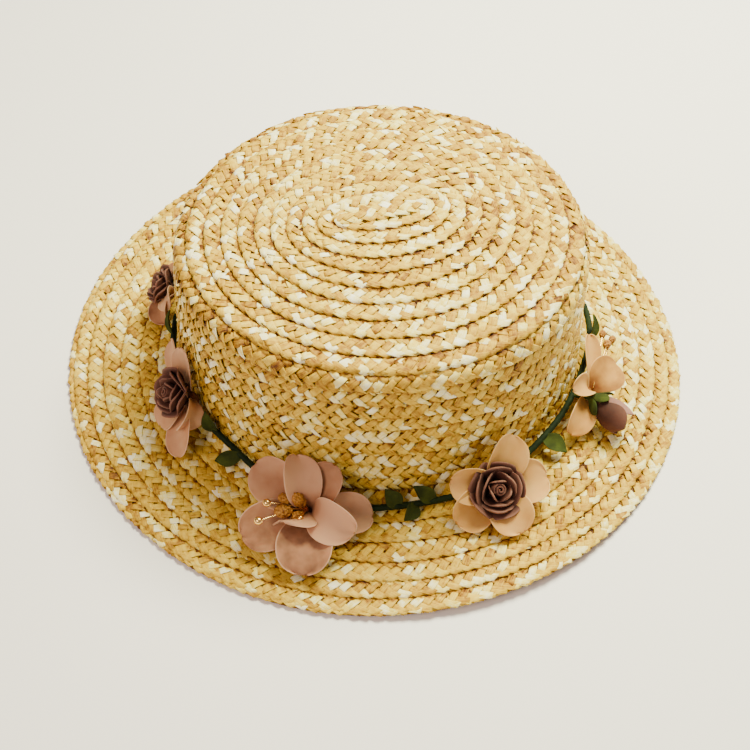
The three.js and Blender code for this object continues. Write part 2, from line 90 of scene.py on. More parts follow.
# Distances along the hat's profile, from the middle of the tip out to the rim
tipEdge = crown["topHalfWidth"] - crown["shoulderRadius"]
wallTop = tipEdge + crown["shoulderRadius"] * math.pi / 2
footHeight = brim["rise"] + brim["footRadius"]
shoulderBottom = crown["topHeight"] - crown["shoulderRadius"]
wallBottom = wallTop + shoulderBottom - footHeight
brimStart = wallBottom + brim["footRadius"] * math.pi / 2


def wallHalves(height):
    rise = (height - crown["baseHeight"]) / (shoulderBottom - crown["baseHeight"])
    return (
        lerp(crown["baseHalfLength"], crown["topHalfLength"], rise),
        lerp(crown["baseHalfWidth"], crown["topHalfWidth"], rise),
    )


footLength, footWidth = wallHalves(footHeight)
brimLength = brim["halfWidth"] - footWidth - brim["footRadius"]
rimStart = brimStart + brimLength
rimEnd = rimStart + brim["rimRadius"] * math.pi


def skin(s, turn):
    # The hat's outer face. s is the way along the profile in mm and turn counts rounds of the hat.
    # Tip: an oval that starts long and rounds out, on a shallow dome. Shoulder: a quarter circle.
    # Wall: straight. Foot: a hollow quarter circle. Brim: a slope whose rim lifts in two waves.
    # Rim: a half circle, and past it the flat underside. Returns points and outward normals.
    s, turn = np.broadcast_arrays(np.asarray(s, float), np.asarray(turn, float))
    angle = 2 * np.pi * turn
    inTip, inShoulder = s < tipEdge, (s >= tipEdge) & (s < wallTop)
    inWall, inFoot = (s >= wallTop) & (s < wallBottom), (s >= wallBottom) & (s < brimStart)
    inBrim, inRim = (s >= brimStart) & (s < rimStart), (s >= rimStart) & (s < rimEnd)
    where = [inTip, inShoulder, inWall, inFoot, inBrim, inRim]
    u = np.clip(s / tipEdge, 0, 1)
    arc = np.pi / 2 - (s - tipEdge) / crown["shoulderRadius"]
    height = shoulderBottom - (s - wallTop)
    wallLength, wallWidth = wallHalves(height)
    turnOut = (s - wallBottom) / brim["footRadius"]
    foot = brim["footRadius"]
    w = np.clip((s - brimStart) / brimLength, 0, 1)
    rimTurn = (s - rimStart) / brim["rimRadius"]
    rim = brim["rimRadius"]
    past = s - rimEnd
    extra = crown["topHalfLength"] - crown["topHalfWidth"]
    halfLength = np.select(where, [
        s + lerp(crown["extraLength"], extra, u),
        crown["topHalfLength"] - crown["shoulderRadius"] * (1 - np.cos(arc)), wallLength,
        footLength + foot * (1 - np.cos(turnOut)), lerp(footLength + foot, brim["halfLength"], w),
        brim["halfLength"] + rim * np.sin(rimTurn),
    ], brim["halfLength"] - past)
    halfWidth = np.select(where, [
        s, crown["topHalfWidth"] - crown["shoulderRadius"] * (1 - np.cos(arc)), wallWidth,
        footWidth + foot * (1 - np.cos(turnOut)), lerp(footWidth + foot, brim["halfWidth"], w),
        brim["halfWidth"] + rim * np.sin(rimTurn),
    ], brim["halfWidth"] - past)
    z = np.select(where, [
        crown["topHeight"] + crown["dome"] * (1 - u * u),
        crown["topHeight"] - crown["shoulderRadius"] * (1 - np.sin(arc)), height,
        footHeight - foot * np.sin(turnOut), lerp(brim["rise"], brim["rimHeight"], w),
        brim["rimHeight"] - rim * (1 - np.cos(rimTurn)),
    ], brim["rimHeight"] - 2 * rim)
    outward = np.select(where, [
        2 * crown["dome"] * u / tipEdge, np.cos(arc), np.ones_like(s), np.cos(turnOut),
        np.full_like(s, faceTilt["brim"]), np.sin(rimTurn),
    ], 0.0)
    upward = np.select(where, [
        np.ones_like(s), np.sin(arc), np.full_like(s, faceTilt["wall"]), np.sin(turnOut), np.ones_like(s),
        np.cos(rimTurn),
    ], -1.0)
    onBrim = s >= brimStart
    shiftX = np.where(onBrim, crown["shift"] * (1 - w), crown["shift"])
    shiftY = np.where(inTip, crown["startShift"] * (1 - u), 0.0)
    lift = brim["waveHeight"] * np.clip(np.cos(2 * (angle - brim["waveAngle"])), 0, None) ** 2
    z = z + np.where(onBrim, w * w * lift, 0.0)
    uneven = sway["three"] * np.sin(3 * angle + 0.7 + s / sway["threeDrift"])
    uneven = uneven + sway["five"] * np.sin(5 * angle + s / sway["fiveDrift"])
    uneven = uneven * np.clip((rimStart - s) / sway["rimFade"], 0, 1) * np.clip(s / sway["startFade"], 0, 1)
    c, sn = np.cos(angle), np.sin(angle)
    ex, ey = c * np.maximum(halfWidth, 1.0), sn * np.maximum(halfLength, 1.0)
    size = np.hypot(ex, ey)
    normal = np.stack([outward * ex / size, outward * ey / size, upward], -1)
    normal /= np.linalg.norm(normal, axis=-1, keepdims=True)
    point = np.stack([shiftX + halfLength * c, shiftY + halfWidth * sn, z], -1)
    return point + uneven[..., None] * normal, normal


# Outer edge of the plait against turns: rows are met at the front, three quarters through a turn.
# One row's edge lies 37 degrees round the shoulder's bend, and the last row ends at the rim.
tipEdges = [
    plait["tipFirst"] + plait["tipPitch"] * k + plait["tipGrowth"] * k * k for k in range(plait["tipRows"])
]
shoulderLine = tipEdge + crown["shoulderRadius"] * math.radians(37)
sideTop = wallTop + 1.0
sideEdges = list(np.linspace(sideTop, wallBottom, plait["sideRows"] + 1))
brimEdges = [brimStart + b - footWidth - brim["footRadius"] for b in plait["brimEdges"]]
rowEdges = np.array([*tipEdges, shoulderLine, *sideEdges, *brimEdges])
rowTurns = np.arange(len(rowEdges)) + 0.75
edgeTurns = np.concatenate([[0.0], rowTurns, [rowTurns[-1] + 1.25]])
edgeValues = np.concatenate([[plait["firstEdge"]], rowEdges, [rimStart]])
lastTurn = edgeTurns[-1]
splitTurns = dict(tip=11.0, side=19.5, end=lastTurn)    # where one piece of the hat ends
roughTurn = 10.1           # the row that bends over the shoulder is the roughest
stretches = (roughTurn, roughTurn + 0.5, splitTurns["side"], splitTurns["side"] + 0.5)


def outerEdge(turn):
    return np.interp(turn, edgeTurns, edgeValues)


def rowPitch(turn):
    # how much of a row shows, at least 3 mm
    return np.maximum(outerEdge(turn) - outerEdge(turn - 1), 3.0)


def makeMesh(name, points, quads, materials, smooth=True, tones=None, uvs=None, faceSlots=None):
    # points in mm and four-cornered faces into a mesh object at the origin
    mesh = bpy.data.meshes.new(name)
    mesh.vertices.add(len(points))
    mesh.vertices.foreach_set("co", (np.asarray(points, np.float32) * mm).ravel())
    quads = np.asarray(quads, np.int32)
    mesh.loops.add(quads.size)
    mesh.loops.foreach_set("vertex_index", quads.ravel())
    mesh.polygons.add(len(quads))
    mesh.polygons.foreach_set("loop_start", np.arange(0, quads.size, 4, dtype=np.int32))
    if faceSlots is not None:
        mesh.polygons.foreach_set("material_index", np.asarray(faceSlots, np.int32))
    mesh.update(calc_edges=True)
    if tones is not None:
        colour = mesh.attributes.new("tone", "FLOAT_COLOR", "POINT")
        colour.data.foreach_set("color", np.asarray(tones, np.float32).ravel())
    if uvs is not None:
        layer = mesh.uv_layers.new(name="alongStraw")
        layer.data.foreach_set("uv", np.asarray(uvs, np.float32)[quads.ravel()].ravel())
    mesh.polygons.foreach_set("use_smooth", np.full(len(quads), smooth))
    mesh.validate()
    piece = bpy.data.objects.new(name, mesh)
    bpy.context.scene.collection.objects.link(piece)
    for material in materials:
        mesh.materials.append(material)
    return piece


def addNode(tree, kind, settings=None, links=None):
    # one node with its settings, and links into its inputs from other nodes' outputs
    node = tree.nodes.new(kind)
    for key, value in (settings or {}).items():
        if isinstance(key, str) and hasattr(node, key):
            setattr(node, key, value)
        else:
            node.inputs[key].default_value = value
    for socket, source in (links or {}).items():
        tree.links.new(source, node.inputs[socket])
    return node


def newMaterial(name):
    material = bpy.data.materials.new(name)
    material.use_nodes = True
    tree = material.node_tree
    tree.nodes.clear()
    return material, tree


def rampColours(node, stops):
    ramp = node.color_ramp
    ramp.elements[0].position, ramp.elements[0].color = stops[0][0], srgb(stops[0][1])
    ramp.elements[1].position, ramp.elements[1].color = stops[-1][0], srgb(stops[-1][1])
    for position, colour in stops[1:-1]:
        ramp.elements.new(position).color = srgb(colour)


def wheatStraw():
    # Split and flattened wheat straw, bleached unevenly: each straw its own shade from ochre to
    # cream, with fine fibres along it, a waxy half shine, and dark brown painted shade in the depths between
    # the straws and under the rows' edges
    material, tree = newMaterial("wheatStraw")
    tone = addNode(tree, "ShaderNodeAttribute", {"attribute_name": "tone"})
    parts = addNode(tree, "ShaderNodeSeparateColor", links={"Color": tone.outputs["Color"]})
    uv = addNode(tree, "ShaderNodeUVMap", {"uv_map": "alongStraw"})
    stretch = addNode(tree, "ShaderNodeMapping", {"Scale": (0.12, 4.0, 1.0)}, {"Vector": uv.outputs["UV"]})
    fibres = addNode(
        tree, "ShaderNodeTexNoise", {"Scale": 1.0, "Detail": 4.0, "Roughness": 0.6},
        {"Vector": stretch.outputs["Vector"]},
    )
    shade = addNode(
        tree, "ShaderNodeMapRange", {"To Min": -0.15, "To Max": 0.15, "From Min": 0.32, "From Max": 0.68},
        {"Value": fibres.outputs["Fac"]},
    )
    coord = addNode(tree, "ShaderNodeTexCoord")
    blotches = addNode(
        tree, "ShaderNodeTexNoise", {"Scale": 420.0, "Detail": 3.0}, {"Vector": coord.outputs["Object"]},
    )
    patchy = addNode(
        tree, "ShaderNodeMapRange", {"To Min": -0.10, "To Max": 0.10, "From Min": 0.32, "From Max": 0.68},
        {"Value": blotches.outputs["Fac"]},
    )
    uneven = addNode(
        tree, "ShaderNodeMath", {"operation": "ADD"},
        {0: shade.outputs["Result"], 1: patchy.outputs["Result"]},
    )
    # only straws vary: the painted shade of the depths stays dark
    scaled = addNode(
        tree, "ShaderNodeMath", {"operation": "MULTIPLY"},
        {0: uneven.outputs["Value"], 1: parts.outputs["Green"]},
    )
    toned = addNode(
        tree, "ShaderNodeMath", {"operation": "ADD"}, {0: parts.outputs["Red"], 1: scaled.outputs["Value"]},
    )
    ramp = addNode(tree, "ShaderNodeValToRGB", links={"Fac": toned.outputs["Value"]})
    rampColours(ramp, [
        (0.0, "#2C1004"), (0.12, "#6A3708"), (0.25, "#A37110"), (0.4, "#C99F26"), (0.55, "#DDB840"),
        (0.7, "#E9D262"), (0.85, "#F5EAB2"), (1.0, "#FDF9E8"),
    ])
    bump = addNode(
        tree, "ShaderNodeBump", {"Strength": 0.6, "Distance": 0.0003}, {"Height": fibres.outputs["Fac"]},
    )
    shader = addNode(
        tree, "ShaderNodeBsdfPrincipled", {"Roughness": 0.66, "IOR": 1.5, "Specular IOR Level": 0.3},
        {"Base Color": ramp.outputs["Color"], "Normal": bump.outputs["Normal"]},
    )
    addNode(tree, "ShaderNodeOutputMaterial", links={"Surface": shader.outputs["BSDF"]})
    return material


straw = wheatStraw()

# Where each straw of the plait shows: its middle in from the outer edge, its slant, length, width.
# The edge straws turn back under the plait, so they are flat there and lie under the middle ones.
lanes = [
    dict(
        inward=2.1, slant=-30.0, length=8.2, width=4.3, offset=0.5, lift=-0.22, bank=0.2,
        folded=True, strand=1,
    ),
    dict(
        inward=5.2, slant=48.0, length=7.4, width=3.85, offset=0.0, lift=0.12, bank=-0.1,
        folded=False, strand=0,
    ),
    dict(
        inward=8.9, slant=-48.0, length=6.8, width=3.85, offset=0.45, lift=-0.05, bank=0.1,
        folded=False, strand=2,
    ),
]

# How much single straws differ from their lane: place, slant in degrees, shares of the length and
# width, taper, bend, height and how far they lean
spread = dict(
    along=0.22, slant=4.5, length=(0.92, 1.06), width=(0.84, 1.06), taper=0.07, bend=0.2,
    inward=0.16, lift=0.09, lean=0.12,
)
# The wall was pulled tighter: its edge straws stand steeper and look squarer, all are narrower and
# lean more. Over the shoulder straws are wider, lean most and are a little darker: painted shade for their
# rough relief.
wallStraws = dict(steeper=16, shorter=1.4, narrower=0.12, lean=0.9)
shoulderStraws = dict(rows=0.75, wider=0.15, leanAlong=1.6, leanAcross=1.2, deeper=0.09)
# Straws flatten softly against the floor, which they stay clear of, and sink where a row goes under
floorContact = dict(clear=0.05, soft=0.3)
groove = dict(before=0.9, over=1.1, depth=0.5)
rimReach = 2.2             # how far the last row's straws reach round the rim
insideFaces = dict(back=0.4, clear=0.6)     # how the inner plait lies between the hat's two faces

# Shades along the straw ramp, from deep at 0 to bleached at 1. Each of the plait's four strands is
# spliced now and then, and each new straw has its own shade. Some crossings are bleached or stained.
shades = dict(
    straws=[0.45, 0.51, 0.57, 0.66, 0.88], shares=[0.14, 0.30, 0.30, 0.16, 0.10],
    start=[0.42, 0.5, 0.58, 0.66, 0.88], strands=4, count=400, differ=0.05,
    bleached=(0.84, 1.0), bleachedShare=0.20, stained=(0.41, 0.47), stainedShare=0.04,
    # the first two below darken each straw's ends and edges as painted shade, where it dives and between
    # straws
    endsPaintedShade=0.26, edgesPaintedShade=0.10, edgeFrom=0.78, deepest=0.04,
)
# A straw lasts this many crossings. Each strand enters its row of shades a few places further on
# than the strand before, and all skip some places after each long stretch of crossings.
splices = dict(every=23, apart=5, shift=100, shiftEvery=997)
patternSpread = 90         # each straw takes its fibres from its own spot of a pattern this wide


def strawBlank(stations, fine, folded):
    # One straw seen between two crossings: a flat bar, round-edged, that sinks by along^4 at its
    # ends, or only at its inner end if the other is folded over the plait's edge, and narrows by a
    # fifth there. Returns the way along and across from -1 to 1, the shares of the sinking and of
    # the thickness, and the faces.
    along = np.linspace(-1, 1, stations)
    bare = np.where(along > 0, 0.0 if folded else 1.0, 1.0)
    narrow = 1 - 0.2 * bare * np.abs(along) ** 4
    if fine:
        across = np.array([-1.0, -0.8, 0.8, 1.0, 0.85, -0.85])
        level = np.array([-0.5, 0.0, 0.0, -0.5, -1.0, -1.0])
    else:
        across = np.array([-1.0, 1.0, 0.8, -0.8])
        level = np.array([0.0, 0.0, -1.0, -1.0])
    ring = len(across)
    l, a = np.meshgrid(along, across, indexing="ij")
    a = a * narrow[:, None]
    drop = np.abs(l) ** 4 * bare[:, None]
    lev = np.broadcast_to(level, l.shape)
    i, j = np.meshgrid(np.arange(stations - 1), np.arange(ring), indexing="ij")
    k = (j + 1) % ring
    sides = np.stack([i * ring + j, i * ring + k, (i + 1) * ring + k, (i + 1) * ring + j], -1).reshape(-1, 4)
    half = ring // 2 - 1
    k = np.arange(half)
    strip = np.stack([k, ring - 1 - k, ring - 2 - k, k + 1], -1)
    caps = np.concatenate([strip, strip[:, ::-1] + (stations - 1) * ring])
    return l.ravel(), a.ravel(), drop.ravel(), lev.ravel(), np.concatenate([sides, caps])


# Length of the plait against turns, measured along its seen middle
samplesPerTurn = 360
fineTurns = np.linspace(0.0, lastTurn, int(lastTurn * samplesPerTurn))
midPoints = skin(np.maximum(outerEdge(fineTurns) - plait["seenMiddle"], 0.5), fineTurns)[0]
lengths = np.concatenate([[0.0], np.cumsum(np.linalg.norm(np.diff(midPoints, axis=0), axis=1))])
lengthPerTurn = np.gradient(lengths, fineTurns)
crossings = np.arange(plait["period"], lengths[-1] - plait["period"], plait["period"])
strawShades = rng.choice(shades["straws"], size=(shades["strands"], shades["count"]), p=shades["shares"])
print("plait of", round(lengths[-1] / 1000, 2), "m with", len(crossings), "crossings")


def strawTones(n, l, a, drop, shade, chance):
    # red: the straw's shade, darker at its ends, where it dives under its neighbour, and at its edges, both
    # painted shade. green: how much it is mottled.
    pith = chance.random(n)
    shade = np.where(pith < shades["bleachedShare"], chance.uniform(*shades["bleached"], n), shade)
    shade = np.where(pith > 1 - shades["stainedShare"], chance.uniform(*shades["stained"], n), shade)
    atEdge = np.abs(a) > shades["edgeFrom"]
    toneWithPaintedShade = shade[:, None] - shades["endsPaintedShade"] * drop[None, :] - shades["edgesPaintedShade"] * atEdge[None, :]
    tones = np.zeros((n, len(l), 4))
    tones[..., 0] = np.clip(toneWithPaintedShade, 0.05, 1)
    tones[..., 1] = tones[..., 3] = 1
    return tones.reshape(-1, 4)


def strawPart(points, tones, spot, along, across, faces, flipped):
    # many straws as one part. along and across are mm on each straw from its spot of the pattern.
    n, size = along.shape
    uvs = np.stack([spot[:, :1] + along, spot[:, 1:] + across], -1)
    laid = (faces[None] + (np.arange(n) * size)[:, None, None]).reshape(-1, 4)
    return points.reshape(-1, 3), tones, uvs.reshape(-1, 2), laid[:, ::-1] if flipped else laid


def plaitStraws(fromTurn, toTurn, inside):
    # All straws of a stretch of the plait on the hat's outer or inner face, a part for each lane.
    # Each is the blank laid at its crossing, turned by its lane's slant, and bent round by skin().
    parts = []
    startTurns = np.interp(crossings, lengths, fineTurns)
    number = np.nonzero((startTurns >= fromTurn) & (startTurns < toTurn))[0]
    n = len(number)
    outside = 0.0 if inside else 1.0
    for lane, row in enumerate(lanes):
        l, a, drop, lev, faces = strawBlank(3 if inside else 5, not inside, row["folded"])
        chance = np.random.default_rng([seedOfHat, lane, int(inside), int(fromTurn * 10)])
        position = crossings[number] + row["offset"] * plait["period"] + chance.normal(0, spread["along"], n)
        turn = np.interp(position, lengths, fineTurns)
        perTurn = np.interp(turn, fineTurns, lengthPerTurn)
        bent = outside * np.exp(-(((turn - roughTurn) / shoulderStraws["rows"]) ** 2))
        onWall = outside * np.clip((turn - roughTurn) / 0.5, 0, 1) * (turn < splitTurns["side"])
        steep = onWall * row["folded"]
        slant = row["slant"] - wallStraws["steeper"] * steep + chance.normal(0, spread["slant"], n)
        slant = np.radians(slant) * (-1 if inside else 1)
        half = 0.5 * (row["length"] - wallStraws["shorter"] * steep) * chance.uniform(*spread["length"], n)
        wide = 0.5 * row["width"] * chance.uniform(*spread["width"], n)
        taper, bend = chance.normal(0, spread["taper"], n), chance.normal(0, spread["bend"], n)
        inward = row["inward"] + chance.normal(0, spread["inward"], n)
        if inside:
            inward = plait["width"] - inward
        lift = row["lift"] + chance.normal(0, spread["lift"], n)
        leanAlong = chance.normal(0, spread["lean"], n)
        leanAcross = row["bank"] + chance.normal(0, spread["lean"], n)
        leanAlong = leanAlong * (1 + shoulderStraws["leanAlong"] * bent + wallStraws["lean"] * onWall)
        leanAcross = leanAcross * (1 + shoulderStraws["leanAcross"] * bent + wallStraws["lean"] * onWall)
        along = half[:, None] * l[None, :]
        across = wide[:, None] * a[None, :] * (1 + taper[:, None] * l[None, :])
        across = across + bend[:, None] * l[None, :] ** 2
        across = across * (1 - wallStraws["narrower"] * onWall + shoulderStraws["wider"] * bent)[:, None]
        du = along * np.cos(slant)[:, None] - across * np.sin(slant)[:, None]
        dq = along * np.sin(slant)[:, None] + across * np.cos(slant)[:, None]
        q = inward[:, None] + dq
        t = turn[:, None] + du / perTurn[:, None]
        edge = outerEdge(t)
        isRim = edge > rimStart - 0.01
        over = np.where(isRim, 0.0, np.maximum(-q, 0.0))      # folded over the row's edge
        q = np.maximum(q, np.where(isRim, -rimReach, 0.0))
        s = np.maximum(edge - q, 0.25)
        step, paintedShadeUnderEdge = (np.interp(turn, stretches, plait[key])[:, None] for key in ("steps", "paintedShadeUnderEdge"))
        tilt = step * np.clip(q, 0, None) / rowPitch(t)
        point, normal = skin(s, t)
        leaning = leanAlong[:, None] * l[None, :] + leanAcross[:, None] * a[None, :]
        under = np.clip((q - rowPitch(t) + groove["before"]) / groove["over"], 0, 1)
        sink = plait["dive"] * drop[None, :] + over - plait["thickness"] * lev[None, :]
        sink = sink + groove["depth"] * under
        if inside:
            depth = plait["wall"] - 0.5 * step + tilt - sink + lift[:, None] - insideFaces["back"]
            height = -np.clip(depth, insideFaces["clear"], plait["wall"])
        else:
            height = lift[:, None] + leaning - tilt - sink
        points = point + height[..., None] * normal
        # the rim lies on the floor, not in it: heights below it are pressed flat, softly
        clear, soft = floorContact["clear"], floorContact["soft"]
        points[..., 2] = clear + soft * np.logaddexp(0, (points[..., 2] - clear) / soft)
        strand = (number + row["strand"]) % shades["strands"]
        splice = number // splices["every"] + splices["apart"] * strand
        splice = (splice + splices["shift"] * (number // splices["shiftEvery"])) % shades["count"]
        shade = strawShades[strand, splice] + chance.normal(0, shades["differ"], n)
        # painted shade over the rough shoulder
        shade = shade - shoulderStraws["deeper"] * bent
        tones = strawTones(n, l, a, drop, shade, chance)
        # painted shade: darkest where a row goes in under the edge of the row before
        tones[:, 0] = np.maximum(tones[:, 0] - (paintedShadeUnderEdge * under**1.5).ravel(), shades["deepest"])
        spot = chance.uniform(0, patternSpread, (n, 2))
        parts.append(strawPart(points, tones, spot, along, across, faces, inside))
    return parts


# The plait's first length, straight across the middle of the tip, in mm and degrees. Lengths and
# widths are shares of the lanes', and dive of the plait's.
firstLength = dict(
    length=40.0, slantSpread=10, alongSpread=0.5, lengths=(0.9, 1.1), widths=(0.95, 1.2), lean=0.15,
    dive=0.6, endsDown=0.9, curve=1.6, height=0.75,
)


def startStrip():
    # The spiral starts round this strip: the same three lanes of straws, laid along X on the flat top
    # of the dome. Its ends dip by endsDown (2x / length)^4 and bend back by curve (2x / length)^2.
    parts = []
    half = firstLength["length"] / 2
    for lane, row in enumerate(lanes):
        l, a, drop, lev, faces = strawBlank(5, True, row["folded"])
        chance = np.random.default_rng([seedOfHat, 55, lane])
        x = np.arange(-half, half, plait["period"]) + row["offset"] * plait["period"]
        n = len(x)
        x = x + chance.normal(0, firstLength["alongSpread"], n)
        slant = np.radians(row["slant"] + chance.normal(0, firstLength["slantSpread"], n))
        along = 0.5 * row["length"] * chance.uniform(*firstLength["lengths"], n)[:, None] * l[None, :]
        across = 0.5 * row["width"] * chance.uniform(*firstLength["widths"], n)[:, None] * a[None, :]
        px = x[:, None] + along * np.cos(slant)[:, None] - across * np.sin(slant)[:, None]
        q = row["inward"] + along * np.sin(slant)[:, None] + across * np.cos(slant)[:, None]
        over = np.maximum(-q, 0.0)
        q = np.maximum(q, 0.0)
        leaning = chance.normal(0, firstLength["lean"], n)[:, None] * l[None, :]
        leaning = leaning + chance.normal(0, firstLength["lean"], n)[:, None] * a[None, :]
        sink = firstLength["dive"] * plait["dive"] * drop[None, :] + over
        sink = sink - plait["thickness"] * lev[None, :]
        tilt = plait["steps"][0] * q / plait["width"] + firstLength["endsDown"] * (np.abs(px) / half) ** 4
        y = q - plait["width"] / 2 + crown["startShift"] + firstLength["curve"] * (px / half) ** 2
        z = crown["topHeight"] + crown["dome"] + firstLength["height"]
        z = z + row["lift"] + leaning - tilt - sink
        shade = chance.choice(shades["start"], n) + chance.normal(0, shades["differ"], n)
        spot = chance.uniform(0, patternSpread, (n, 2))
        tones = strawTones(n, l, a, drop, shade, chance)
        points = np.stack([px + crown["shift"], y, z], -1)
        parts.append(strawPart(points, tones, spot, along, across, faces, True))
    return parts


# The depths of its two faces and the spacing of its stations in mm, the points round it, the tone of its
# painted shade
darkCore = dict(outer=1.75, inner=1.9, station=2.5, around=180, shade=0.10)


def strawCore(sFrom, sTo, poles):
    # The dark depth between the straws, painted shade: a thin closed shell along the same skin, well inside
    # both faces, dark so that the gaps between straws look shaded. It is a grid of profile stations by
    # angle, closed into a ring or at two poles.
    stations = np.linspace(sFrom, sTo, max(int((sTo - sFrom) / darkCore["station"]), 8))
    turns = np.arange(darkCore["around"]) / darkCore["around"]
    rings = []
    for depth, order in ((darkCore["outer"], stations), (darkCore["inner"], stations[::-1])):
        point, normal = skin(order[:, None], turns[None, :])
        rings.append(point - depth * normal)
    rings = np.concatenate(rings)
    rows, cols = rings.shape[:2]
    last = rows - 1 if poles else rows
    i, j = np.meshgrid(np.arange(last), np.arange(cols), indexing="ij")
    i2, j2 = (i + 1) % rows, (j + 1) % cols
    faces = np.stack([i * cols + j, i2 * cols + j, i2 * cols + j2, i * cols + j2], -1).reshape(-1, 4)
    points = rings.reshape(-1, 3)
    if poles:
        # the middle is a row of quads across the start oval, above and below
        for base, flip in ((0, False), ((rows - 1) * cols, True)):
            k = np.arange(cols // 2 - 1)
            strip = np.stack([k, k + 1, cols - 2 - k, cols - 1 - k], -1)
            faces = np.concatenate([faces, (strip[:, ::-1] if flip else strip) + base])
    tones = np.zeros((len(points), 4))
    tones[:, 0], tones[:, 3] = darkCore["shade"], 1
    return points, tones, np.zeros((len(points), 2)), faces


def strawPiece(name, node, fromTurn, toTurn, inside, extra=()):
    parts = [*plaitStraws(fromTurn, toTurn, inside), *extra]
    offsets = np.cumsum([0] + [len(part[0]) for part in parts[:-1]])
    points, tones, uvs = (np.concatenate([part[k] for part in parts]) for k in range(3))
    faces = np.concatenate([part[3] + offset for part, offset in zip(parts, offsets)])
    piece = makeMesh(name, points, faces, [straw], tones=tones, uvs=uvs)
    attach(piece, "root")
    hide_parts(node)
    print(name, len(faces), "faces")


# The cores keep clear of each other where two pieces meet
tipSpan = (0.6, sideTop - 0.1, True)
sideSpan = (sideTop + 0.1, wallBottom - 0.1, False)
brimSpan = (wallBottom + 0.1, rimStart + 0.4, False)
strawPiece("tipPlait", "crown_tip", 0.0, splitTurns["tip"], False, [strawCore(*tipSpan), *startStrip()])
strawPiece("tipInside", "crown_tip", 0.0, splitTurns["tip"], True)
strawPiece("sidePlait", "crown_side", splitTurns["tip"], splitTurns["side"], False)
strawPiece("sideInside", "crown_side", splitTurns["tip"], splitTurns["side"], True, [strawCore(*sideSpan)])
strawPiece("brimPlait", "brim", splitTurns["side"], splitTurns["end"], False)
strawPiece("brimUnderside", "brim", splitTurns["side"], splitTurns["end"], True, [strawCore(*brimSpan)])


# The garland. Places are an angle round the crown, the way out from its wall and a height in mm
foam = dict(petal=0.95, rose=0.8, leaf=0.5, sepal=0.6)
wire = dict(radius=1.5, sides=16, tapePitch=4.5, tapeRidge=0.22, thread=0.35, threadBow=1.6)
coreRadius = 3.0           # of the ball that a flower is gathered round
stemRoute = [
    (0, 4.0, 15), (30, 3.2, 11), (60, 3.6, 9.6), (90, 4.6, 9.4), (120, 3.6, 10), (150, 3.0, 15),
    (178, 2.6, 17), (198, 2.4, 17), (216, 2.6, 14.5), (230, 7.0, 10.6), (242, 10.5, 9.4), (256, 8.0, 9.0),
    (272, 7.4, 9.2), (284, 7.6, 9.4), (298, 4.2, 11), (313, 3.4, 14), (326, 2.8, 17), (343, 4.4, 17),
]
